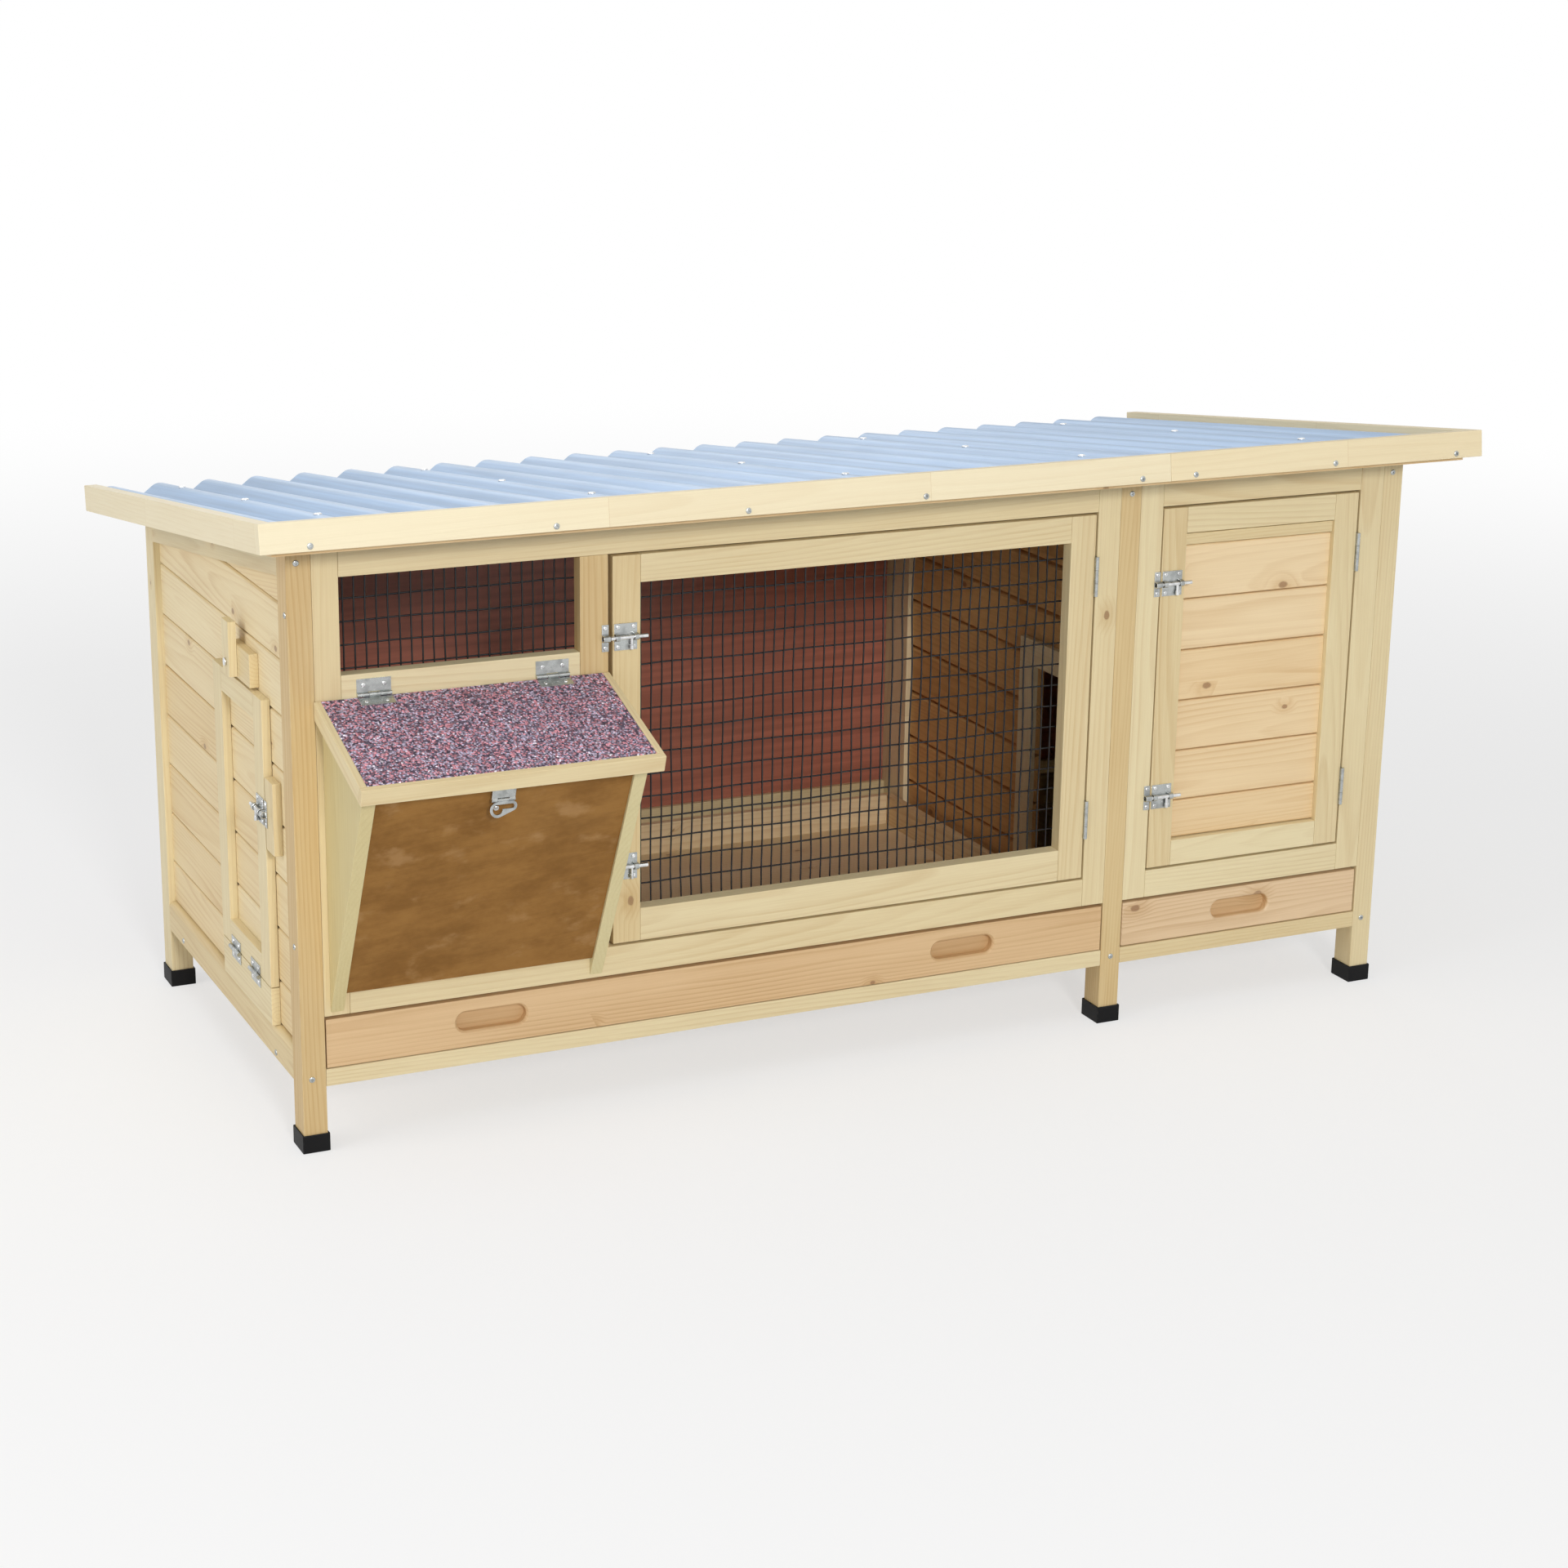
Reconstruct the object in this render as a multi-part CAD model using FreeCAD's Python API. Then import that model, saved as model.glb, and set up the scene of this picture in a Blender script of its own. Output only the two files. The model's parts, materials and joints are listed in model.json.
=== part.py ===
import FreeCAD, Part
import math
import os

Vector = FreeCAD.Vector

# Driving dimensions, in millimetres and degrees.
# Working axes: x from the left face of the left posts, y back from the front faces, z up from the floor.

# Carcass
body_width = 1400.0
body_depth = 600.0
front_height = 672.0
roof_slope = 7.6
nest_bay_width = 344.0
post_width = 27.0
post_depth = 34.0
leg_height = 74.5
base_rail_height = 20.0
side_rail_height = 37.5
back_rail_height = 75.5
side_rail_thickness = 20.0
rail_rounding = 7.0
frame_thickness = 18.0
bottom_rail_height = 34.0
top_rail_height = 33.5
side_top_rail_height = 30.0
back_top_rail_height = 34.0
cap_wall = 2.0
cap_height = 21.0

# Front frame
left_stile_width = 29.0
window_width = 269.0
window_height = 105.5
window_rail_height = 34.0
window_stile_width = 33.0
mesh_hinge_stile_width = 30.0
nest_latch_stile_width = 31.0
nest_hinge_stile_width = 33.0

# Boards, panels and wire
board_thickness = 9.0
board_recess = 8.0
board_pitch = 62.6
board_bevel = 1.6
wall_board_line = 164.0
nest_board_line = 271.6
panel_thickness = 6.0
wire_size = 1.6
wire_pitch_across = 12.5
wire_pitch_up = 25.4
wire_lap = 8.0

# Doors
door_gap = 2.0
mesh_latch_gap = 5.0
nest_latch_gap = 1.5
hinge_gap = 2.4
door_stile_width = 33.0
door_rail_height = 33.0
mesh_bottom_rail_height = 40.0
nest_batten_height = 15.0
nest_board_recess = 7.0
door_hinge_inset = 74.0
door_bolt_inset = 91.0

# Drawers
drawer_front_height = 58.5
drawer_front_thickness = 16.0
drawer_gap = 1.0
drawer_side_gap = 1.5
drawer_setback = 1.0
runner_clearance = 0.3
runner_width = 25.0
tray_floor = 4.0
tray_wall = 10.0
tray_height = 45.0
tray_side_gap = 3.0
tray_back_gap = 8.0
slot_width = 82.0
slot_height = 22.0
slot_depth = 11.0
slot_bevel = 2.5
left_slot_spacing = 592.0

# Feeder
cheek_inset = 7.0
cheek_thickness = 15.0
feeder_width = 315.5
cheek_foot = 4.0
cheek_lean = 25.86
feeder_panel_inset = 3.0
feeder_panel_lift = 27.0
feeder_panel_gap = 1.5
lid_slope = 18.4
lid_front_overhang = 18.0
lid_overhang = 9.0
lid_trim_width = 8.0
lid_trim_height = 19.0
lid_board_thickness = 10.0
lid_felt_thickness = 2.0
lid_wall_gap = 1.5
lid_seat_gap = 0.5
lid_back_drop = 25.0
lid_hinge_spread = 201.0
rack_bar_size = 8.0
rack_bar_count = 5

# Hasp
hasp_width = 26.0
hasp_thickness = 1.5
hasp_drop = 32.0
hasp_left_shift = 4.5
hasp_foot = 10.0
hasp_panel_gap = 2.0
hasp_leaf_width = 30.0
hasp_leaf_round_radius = 8.5
hasp_leaf_slot_radius = 5.5
hasp_leaf_rim = 3.0
hasp_knuckle_radius = 2.2
hasp_pin_radius = 1.0
knob_radius = 3.0
knob_length = 8.0
knob_stem_radius = 2.0

# Ramp door in the left wall
ramp_front = 104.0
ramp_width = 196.0
ramp_height = 329.0
ramp_frame_thickness = 10.0
ramp_stile_width = 34.0
ramp_rail_height = 29.0
ramp_seat_gap = 0.3
ramp_sill_height = 44.0
ramp_sill_gap = 1.0
ramp_lap = 16.0
ramp_board_gap = 2.0
ramp_hinge_spread = 80.0
ramp_bolt_rise = 203.0
batten_width = 15.0
batten_thickness = 12.0
slat_width = 30.0
slat_height = 82.0
slat_gap = 3.0
button_block_width = 76.0
button_block_height = 38.0
button_block_gap = 3.0
button_width = 26.0
button_thickness = 9.0
button_long_end = 47.0
button_short_end = 15.0
button_door_gap = 0.5
button_pivot_rise = 20.0
button_pivot_back = 102.0
button_screw_radius = 2.5
button_screw_head_radius = 4.5
button_screw_head = 2.0

# Partition between the two bays
partition_stile_width = 40.0
partition_frame_thickness = 8.0
doorway_front = 60.0
doorway_width = 130.0
doorway_sill = 160.0
doorway_height = 246.0
doorway_jamb_width = 33.0
doorway_head_height = 32.0

# Roof
roof_side_overhang = 50.0
roof_front_overhang = 87.0
roof_back_overhang = 91.7
fascia_thickness = 16.0
fascia_height = 31.5
fascia_rise = 4.0
fascia_joint = 1014.0
purlin_width = 36.0
purlin_height = 16.0
eaves_purlin_width = 26.0
purlin_inset = 2.0
wave_count = 24
wave_height = 14.8
wave_lean = 37.0
wave_bends = 4
sheet_thickness = 1.2
sheet_gap = 0.3
sheet_side_gap = 1.0

# Butt hinges
knuckle_radius = 2.5
hinge_pin_radius = 1.2
hinge_stand_off = 2.6
hinge_leaf_thickness = 1.0
knuckle_gap = 0.4
leaf_start = 2.8
door_hinge_length = 47.0
door_leaf_reach = 14.0
lid_hinge_length = 38.0
lid_leaf_reach = 17.0
ramp_hinge_length = 36.0
ramp_leaf_reach = 13.0

# Barrel bolts, drawn back at rest
bolt_plate_length = 27.0
bolt_plate_height = 30.0
bolt_plate_thickness = 1.2
bolt_plate_inset = 1.5
bolt_strap_width = 5.0
bolt_rod_radius = 2.4
bolt_strap_wall = 1.2
bolt_strap_bends = 6
bolt_clearance = 0.3
bolt_knob_radius = 1.8
bolt_knob_end_radius = 2.4
bolt_knob_drop = 14.0
bolt_knob_end_length = 5.0
bolt_keeper_width = 8.0
bolt_tip_gap = 1.0
bolt_tail = 2.5

# Shared by the fittings: running clearance of pins in their bores, and the flats of slender round bars
pin_clearance = 0.06
slender_bar_flats = 12

# Places worked out from the dimensions above
right_post_x = body_width - post_width
nest_bay_x = right_post_x - nest_bay_width
middle_post_x = nest_bay_x - post_width
living_bay_x = post_width
window_x = living_bay_x + left_stile_width
window_stile_x = window_x + window_width
mesh_door_left = window_stile_x + window_stile_width + mesh_latch_gap
mesh_hinge_stile_x = middle_post_x - mesh_hinge_stile_width
mesh_door_right = mesh_hinge_stile_x - hinge_gap
nest_latch_edge = nest_bay_x + nest_latch_stile_width
nest_door_left = nest_latch_edge + nest_latch_gap
nest_hinge_stile_x = right_post_x - nest_hinge_stile_width
nest_door_right = nest_hinge_stile_x - hinge_gap

base_top = leg_height + base_rail_height
side_rail_top = leg_height + side_rail_height
back_rail_top = leg_height + back_rail_height
drawer_front_z = base_top + drawer_gap
bottom_rail_z = drawer_front_z + drawer_front_height + drawer_gap
bottom_rail_top = bottom_rail_z + bottom_rail_height
top_rail_z = front_height - top_rail_height
door_bottom = bottom_rail_top + door_gap
door_top = top_rail_z - door_gap
window_sill = top_rail_z - window_height
window_rail_z = window_sill - window_rail_height
back_post_y = body_depth - post_depth
back_frame_y = body_depth - frame_thickness
slope_fall = math.tan(math.radians(roof_slope))
hinge_heights = (door_bottom + door_hinge_inset, door_top - door_hinge_inset)
bolt_heights = (door_bottom + door_bolt_inset, door_top - door_bolt_inset)

# The lid leans down to the front from a line just under the window rail's middle
lid_back_z = window_sill - lid_back_drop
lid_lean = math.radians(lid_slope)
cheek_left_x = living_bay_x + cheek_inset
cheek_right_x = cheek_left_x + feeder_width - cheek_thickness
lid_left = cheek_left_x - lid_overhang
lid_right = cheek_left_x + feeder_width + lid_overhang
feeder_middle = cheek_left_x + feeder_width / 2.0
hasp_middle = feeder_middle - hasp_left_shift
lid_hinge_y = -hinge_stand_off
lid_hinge_rise = hinge_stand_off / math.cos(lid_lean) - (hinge_stand_off - lid_wall_gap) * math.tan(lid_lean)
lid_hinge_z = lid_back_z + lid_hinge_rise

# The ramp door lies on the wall boards, hinged at its sill
ramp_face_x = board_recess - ramp_seat_gap - ramp_frame_thickness
ramp_back = ramp_front + ramp_width
ramp_sill_top = side_rail_top + ramp_sill_height
ramp_bottom = ramp_sill_top + ramp_sill_gap
ramp_top = ramp_bottom + ramp_height
ramp_hinge_x = ramp_face_x - hinge_stand_off
ramp_hinge_z = ramp_sill_top + ramp_sill_gap / 2.0
ramp_middle = ramp_front + ramp_width / 2.0
ramp_bolt_z = ramp_bottom + ramp_bolt_rise
ramp_way_front = ramp_front + ramp_lap
ramp_way_back = ramp_back - ramp_lap
ramp_way_bottom = ramp_bottom
ramp_way_top = ramp_top - ramp_lap
button_y = ramp_front + button_pivot_back
button_z = ramp_top + button_pivot_rise
button_back_x = ramp_face_x - button_door_gap

# Bolt travel: up to the keeper's far edge
bolt_travel = bolt_tip_gap + bolt_keeper_width
bolt_axis_height = bolt_plate_thickness + bolt_clearance + bolt_rod_radius

parts = {}


def add(name, *solids):
    """Keep a named sub-part as one solid or as a group of separate solids."""
    parts[name] = solids[0] if len(solids) == 1 else Part.makeCompound(list(solids))


def block(x0, x1, y0, y1, z0, z1):
    """Rectangular block between two corners."""
    return Part.makeBox(x1 - x0, y1 - y0, z1 - z0, Vector(x0, y0, z0))


def prism(corners, travel):
    """Straight prism of a polygon."""
    outline = Part.makePolygon(corners + [corners[0]])
    return Part.Face(outline).extrude(travel)


def slender_bar(radius, start, travel):
    """Thin round bar along x, y or z, with a few flats."""
    along = Vector(travel).normalize()
    across = Vector(along.y, along.z, along.x)
    beside = along.cross(across)
    corners = []
    for flat in range(slender_bar_flats):
        turn = 2.0 * math.pi * flat / slender_bar_flats
        corners.append(start + across * (radius * math.cos(turn)) + beside * (radius * math.sin(turn)))
    return prism(corners, travel)


def wall_top(y):
    """Height of the sloping top of the walls at a depth."""
    return front_height - y * slope_fall


def sloped_bar(x0, x1, y0, y1, z0):
    """Upright or rail whose top follows the roof slope."""
    corners = [Vector(x0, y0, z0), Vector(x0, y1, z0),
               Vector(x0, y1, wall_top(y1)), Vector(x0, y0, wall_top(y0))]
    return prism(corners, Vector(x1 - x0, 0, 0))


def plank(z0, z1, outer, inner, start, end, along_x):
    """Board with bevelled long edges on its outer face."""
    bevel = board_bevel if inner > outer else -board_bevel
    section = [
        (outer, z0 + board_bevel), (outer, z1 - board_bevel), (outer + bevel, z1),
        (inner, z1), (inner, z0), (outer + bevel, z0),
    ]
    if along_x:
        corners = [Vector(start, depth, z) for depth, z in section]
        travel = Vector(end - start, 0, 0)
    else:
        corners = [Vector(depth, start, z) for depth, z in section]
        travel = Vector(0, end - start, 0)
    return prism(corners, travel)


def board_rows(z0, z1, line):
    """Heights of the boards between two levels, with one joint at a given line."""
    first = line - board_pitch * math.floor((line - z0) / board_pitch)
    joints = [z0]
    level = first if first > z0 + board_bevel * 3 else first + board_pitch
    while level < z1 - board_bevel * 3:
        joints.append(level)
        level += board_pitch
    joints.append(z1)
    return list(zip(joints[:-1], joints[1:]))


def aimed(shape, origin, along, toward):
    """Turn a shape's own x and y onto two square directions and move it to its place."""
    up = along.cross(toward)
    turn = FreeCAD.Matrix(
        along.x, toward.x, up.x, origin.x,
        along.y, toward.y, up.y, origin.y,
        along.z, toward.z, up.z, origin.z,
        0, 0, 0, 1)
    placed = shape.copy()
    placed.Placement = FreeCAD.Placement(turn).multiply(placed.Placement)
    return placed


def on_roof(shape):
    """Lay a piece drawn flat onto the sloping top of the walls."""
    shape.rotate(Vector(0, 0, 0), Vector(1, 0, 0), -roof_slope)
    shape.translate(Vector(0, 0, front_height))
    return shape


def on_lid(shape):
    """Lay a piece drawn flat onto the lid's slope, with its back edge at the wall."""
    shape.rotate(Vector(0, 0, 0), Vector(1, 0, 0), lid_slope)
    shape.translate(Vector(0, -lid_wall_gap, lid_back_z))
    return shape


# Frame of posts, rails and stiles
def make_posts():
    front = []
    back = []
    caps = []
    for x in (0.0, middle_post_x, right_post_x):
        for y, row in ((0.0, front), (back_post_y, back)):
            row.append(sloped_bar(x, x + post_width, y, y + post_depth, cap_wall))
            right = x + post_width
            rear = y + post_depth
            cup = block(x - cap_wall, right + cap_wall, y - cap_wall, rear + cap_wall, 0, cap_height)
            caps.append(cup.cut(block(x, right, y, rear, cap_wall, cap_height)))
    add("front_posts", *front)
    add("back_posts", *back)
    add("foot_caps", *caps)


def make_base():
    bays = ((living_bay_x, middle_post_x), (nest_bay_x, right_post_x))
    rails = [block(x0, x1, 0, frame_thickness, leg_height, base_top) for x0, x1 in bays]
    rails += [block(x0, x1, back_frame_y, body_depth, leg_height, back_rail_top) for x0, x1 in bays]
    for outer, inner in ((0.0, side_rail_thickness), (body_width, body_width - side_rail_thickness)):
        rail = block(min(outer, inner), max(outer, inner), post_depth, back_post_y, leg_height, side_rail_top)
        edge = [e for e in rail.Edges if abs(e.BoundBox.ZMin - side_rail_top) < cap_wall and
                abs(e.BoundBox.XMin - outer) < cap_wall and e.BoundBox.YLength > post_depth]
        rails.append(rail.makeFillet(rail_rounding, edge))
    add("base_rails", *rails)

    middle_left = middle_post_x - runner_width
    middle_right = nest_bay_x + runner_width
    left_runner = block(side_rail_thickness, side_rail_thickness + runner_width, post_depth, back_post_y,
                        leg_height, base_top)
    middle_runner = block(middle_left, middle_right, post_depth, back_post_y, leg_height, base_top)
    right_edge = body_width - side_rail_thickness
    right_runner = block(right_edge - runner_width, right_edge, post_depth, back_post_y, leg_height, base_top)
    add("drawer_runners", left_runner, middle_runner, right_runner)


def make_front_frame():
    stile = frame_thickness
    add("front_stiles",
        sloped_bar(living_bay_x, window_x, 0, stile, bottom_rail_z),
        block(window_stile_x, window_stile_x + window_stile_width, 0, stile, bottom_rail_top, top_rail_z),
        sloped_bar(mesh_hinge_stile_x, middle_post_x, 0, stile, bottom_rail_z),
        sloped_bar(nest_bay_x, nest_latch_edge, 0, stile, bottom_rail_z),
        sloped_bar(nest_hinge_stile_x, right_post_x, 0, stile, bottom_rail_z))
    add("front_rails",
        sloped_bar(window_x, mesh_hinge_stile_x, 0, stile, top_rail_z),
        block(window_x, mesh_hinge_stile_x, 0, stile, bottom_rail_z, bottom_rail_top),
        block(window_x, window_stile_x, 0, stile, window_rail_z, window_sill),
        sloped_bar(nest_latch_edge, nest_hinge_stile_x, 0, stile, top_rail_z),
        block(nest_latch_edge, nest_hinge_stile_x, 0, stile, bottom_rail_z, bottom_rail_top))


def wire_mesh(x0, x1, z0, z1, y):
    """Welded mesh of upright wires with cross wires on their back."""
    middle = (x0 + x1) / 2.0
    half = wire_size / 2.0
    columns = int((x1 - x0 - wire_size) / wire_pitch_across)
    rows = int((z1 - z0 - wire_size) / wire_pitch_up)
    first_x = middle - columns * wire_pitch_across / 2.0
    first_z = (z0 + z1) / 2.0 - rows * wire_pitch_up / 2.0
    wires = []
    for column in range(columns + 1):
        x = first_x + column * wire_pitch_across
        wires.append(block(x - half, x + half, y, y + wire_size, z0, z1))
    for row in range(rows + 1):
        z = first_z + row * wire_pitch_up
        wires.append(block(x0, x1, y + wire_size, y + 2 * wire_size, z - half, z + half))
    return wires


def make_window():
    add("window_mesh", *wire_mesh(window_x - wire_lap, window_stile_x + wire_lap,
                                  window_sill - wire_lap, top_rail_z + wire_lap, frame_thickness))


# Walls, back and partition
def under_top_rail():
    """Space below the sloping side rails."""
    low_front = wall_top(post_depth) - side_top_rail_height
    low_back = wall_top(back_post_y) - side_top_rail_height
    corners = [Vector(0, post_depth, 0), Vector(0, back_post_y, 0),
               Vector(0, back_post_y, low_back), Vector(0, post_depth, low_front)]
    return prism(corners, Vector(body_width, 0, 0))


def make_side_walls():
    space = under_top_rail()
    tall = wall_top(post_depth) - side_top_rail_height
    rows = board_rows(side_rail_top, tall, wall_board_line)
    left_inner = board_recess + board_thickness
    right_outer = body_width - board_recess
    right_inner = right_outer - board_thickness
    left = []
    right = []
    for z0, z1 in rows:
        left_plank = plank(z0, z1, board_recess, left_inner, post_depth, back_post_y, False)
        right_plank = plank(z0, z1, right_outer, right_inner, post_depth, back_post_y, False)
        left.append(left_plank.common(space))
        right.append(right_plank.common(space))
    way = block(0, post_depth, ramp_way_front, ramp_way_back, ramp_way_bottom, ramp_way_top)
    cut_left = []
    for board in left:
        cut_left += board.cut(way).Solids
    add("left_wall_boards", *cut_left)
    add("right_wall_boards", *[solid for board in right for solid in board.Solids])

    rails = []
    for x0 in (0.0, body_width - side_rail_thickness):
        rail = sloped_bar(x0, x0 + side_rail_thickness, post_depth, back_post_y, leg_height)
        rails += rail.cut(space).Solids
    back_z = wall_top(body_depth) - back_top_rail_height
    for x0, x1 in ((living_bay_x, middle_post_x), (nest_bay_x, right_post_x)):
        rails.append(sloped_bar(x0, x1, back_frame_y, body_depth, back_z))
    add("top_rails", *rails)

    panel_y = back_frame_y + (frame_thickness - panel_thickness) / 2.0
    panels = []
    for x0, x1 in ((living_bay_x, middle_post_x), (nest_bay_x, right_post_x)):
        panels.append(block(x0, x1, panel_y, panel_y + panel_thickness, back_rail_top, back_z))
    add("back_panels", *panels)

    battens = []
    for y0 in (ramp_way_front - batten_width, ramp_way_back):
        low_z = wall_top(y0 + batten_width) - side_top_rail_height
        high_z = wall_top(y0) - side_top_rail_height
        y1 = y0 + batten_width
        corners = [Vector(left_inner, y0, side_rail_top), Vector(left_inner, y1, side_rail_top),
                   Vector(left_inner, y1, low_z), Vector(left_inner, y0, high_z)]
        battens.append(prism(corners, Vector(batten_thickness, 0, 0)))
    add("doorway_battens", *battens)


def make_partition():
    outer = middle_post_x + partition_frame_thickness
    inner = outer + board_thickness
    corners = [Vector(0, post_depth, 0), Vector(0, back_post_y, 0),
               Vector(0, back_post_y, wall_top(back_post_y)), Vector(0, post_depth, wall_top(post_depth))]
    space = prism(corners, Vector(body_width, 0, 0))
    doorway_back = doorway_front + doorway_width
    doorway_top = doorway_sill + doorway_height
    way = block(middle_post_x, nest_bay_x, doorway_front, doorway_back, doorway_sill, doorway_top)
    boards = []
    for z0, z1 in board_rows(base_top, wall_top(post_depth), wall_board_line):
        board = plank(z0, z1, outer, inner, post_depth, back_post_y, False).common(space)
        boards += board.cut(way).Solids
    add("partition_boards", *boards)

    jamb_back = doorway_back + doorway_jamb_width
    head_top = doorway_top + doorway_head_height
    stile_y = back_post_y - partition_stile_width
    stile_corners = [Vector(middle_post_x, stile_y, base_top), Vector(middle_post_x, back_post_y, base_top),
                     Vector(middle_post_x, back_post_y, wall_top(back_post_y)),
                     Vector(middle_post_x, stile_y, wall_top(stile_y))]
    add("partition_frame",
        prism(stile_corners, Vector(partition_frame_thickness, 0, 0)),
        block(middle_post_x, outer, doorway_back, jamb_back, base_top, doorway_top),
        block(middle_post_x, outer, post_depth, jamb_back, doorway_top, head_top),
        block(middle_post_x, outer, post_depth, doorway_front, base_top, doorway_top))


# Roof of fascias, purlins and corrugated sheet
def make_roof():
    left = -roof_side_overhang
    right = body_width + roof_side_overhang
    front = -roof_front_overhang
    run = body_depth / math.cos(math.radians(roof_slope))
    back = run + roof_back_overhang
    inner_left = left + fascia_thickness
    inner_right = right - fascia_thickness
    inner_front = front + fascia_thickness
    low = fascia_rise
    high = fascia_rise + fascia_height
    add("front_fascia_left", on_roof(block(left, fascia_joint, front, inner_front, low, high)))
    add("front_fascia_right", on_roof(block(fascia_joint, right, front, inner_front, low, high)))
    add("side_fascias",
        on_roof(block(left, inner_left, inner_front, back, low, high)),
        on_roof(block(inner_right, right, inner_front, back, low, high)))
    eaves_back = inner_front + eaves_purlin_width
    purlins = [on_roof(block(inner_left, inner_right, inner_front, eaves_back, 0, purlin_height))]
    last_place = run - purlin_inset - purlin_width
    for place in (purlin_inset, (purlin_inset + last_place) / 2.0, last_place):
        purlins.append(on_roof(block(inner_left, inner_right, place, place + purlin_width, 0, purlin_height)))
    add("roof_purlins", *purlins)
    add("roof_sheet", on_roof(corrugated_sheet(inner_left + sheet_side_gap, inner_right - sheet_side_gap,
                                               inner_front + sheet_gap, back)))


def wave_line(x0, half_wave, level, offset):
    """Corners along one side of the waved section: straight flanks, crests and troughs in a few bends."""
    lean = math.radians(wave_lean)
    rise = wave_height / 2.0
    radius = (half_wave / 2.0 * math.sin(lean) - rise * math.cos(lean)) / (1.0 - math.cos(lean))
    end_z = level + offset * math.cos(lean)
    corners = [Vector(x0 - offset * math.sin(lean), 0, end_z)]
    for index in range(2 * wave_count):
        sense = 1.0 if index % 2 == 0 else -1.0
        bend = radius + sense * offset
        middle_x = x0 + (index + 0.5) * half_wave
        centre_z = level + sense * (rise - radius)
        for step in range(wave_bends + 1):
            turn = lean * (2.0 * step / wave_bends - 1.0)
            height = centre_z + sense * bend * math.cos(turn)
            corners.append(Vector(middle_x + bend * math.sin(turn), 0, height))
    end_x = x0 + 2 * wave_count * half_wave
    corners.append(Vector(end_x - offset * math.sin(lean), 0, end_z))
    return corners


def corrugated_sheet(x0, x1, y0, y1):
    """Waved sheet lying on the purlins."""
    half_wave = (x1 - x0) / (2.0 * wave_count)
    half = sheet_thickness / 2.0
    level = purlin_height + sheet_gap + wave_height / 2.0 + half
    outline = wave_line(x0, half_wave, level, half) + wave_line(x0, half_wave, level, -half)[::-1]
    sheet = prism(outline, Vector(0, y1 - y0, 0))
    sheet.translate(Vector(0, y0, 0))
    return sheet


# Butt hinges, drawn about their own axis
def hinge_leaf(length, reach, seat, spans):
    """Leaf along x, seated toward y, with knuckles on stretches of the z axis."""
    low = seat - hinge_leaf_thickness
    leaf = block(leaf_start, reach, low, seat, -length / 2.0, length / 2.0)
    for z0, z1 in spans:
        web = block(0, leaf_start, low, seat, z0, z1)
        knuckle = slender_bar(knuckle_radius, Vector(0, 0, z0), Vector(0, 0, z1 - z0))
        leaf = leaf.fuse([web, knuckle])
    return leaf


def fixed_leaf(length, reach, seat):
    """Leaf with the two outer knuckles and the pin that is riveted into them."""
    near = length / 6.0 + knuckle_gap / 2.0
    leaf = hinge_leaf(length, reach, seat, [(-length / 2.0, -near), (near, length / 2.0)])
    pin = Part.makeCylinder(hinge_pin_radius, 2.0 * near, Vector(0, 0, -near))
    return leaf.fuse(pin).removeSplitter()


def moving_leaf(length, reach, seat):
    """Leaf with the middle knuckle, bored for the pin."""
    near = length / 6.0 - knuckle_gap / 2.0
    leaf = hinge_leaf(length, reach, seat, [(-near, near)])
    bore = Part.makeCylinder(hinge_pin_radius + pin_clearance, 2.0 * near, Vector(0, 0, -near))
    return leaf.cut(bore).removeSplitter()


def make_hinges():
    pin_up = Vector(0, 0, 1)
    fixed = []

    def hinge(origin, length, reach, fixed_way, moving_way):
        """One hinge; each way is its leaf's reach, seat direction and seat distance."""
        along, toward, seat = fixed_way
        fixed.append(aimed(fixed_leaf(length, reach, seat), origin, along, toward))
        along, toward, seat = moving_way
        return aimed(moving_leaf(length, reach, seat), origin, along, toward)

    depth = Vector(0, 1, 0)
    right = Vector(1, 0, 0)
    seat = hinge_gap / 2.0
    doors = (("mesh_door_hinge_leaves", mesh_door_right), ("nest_door_hinge_leaves", nest_door_right))
    for name, edge in doors:
        moving = []
        for z in hinge_heights:
            origin = Vector(edge + seat, -hinge_stand_off, z)
            moving.append(hinge(origin, door_hinge_length, door_leaf_reach,
                                (depth, right, seat), (depth, -right, seat)))
        add(name, *moving)

    down_slope = Vector(0, -math.cos(lid_lean), -math.sin(lid_lean))
    into_lid = Vector(0, math.sin(lid_lean), -math.cos(lid_lean))
    moving = []
    for side in (-0.5, 0.5):
        origin = Vector(feeder_middle + side * lid_hinge_spread, lid_hinge_y, lid_hinge_z)
        moving.append(hinge(origin, lid_hinge_length, lid_leaf_reach, (pin_up, depth, hinge_stand_off),
                            (down_slope, into_lid, hinge_stand_off)))
    add("lid_hinge_leaves", *moving)

    moving = []
    for side in (-0.5, 0.5):
        origin = Vector(ramp_hinge_x, ramp_middle + side * ramp_hinge_spread, ramp_hinge_z)
        moving.append(hinge(origin, ramp_hinge_length, ramp_leaf_reach, (-pin_up, right, hinge_stand_off),
                            (pin_up, right, hinge_stand_off)))
    add("ramp_hinge_leaves", *moving)
    add("fixed_hinge_leaves", *fixed)


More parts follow.
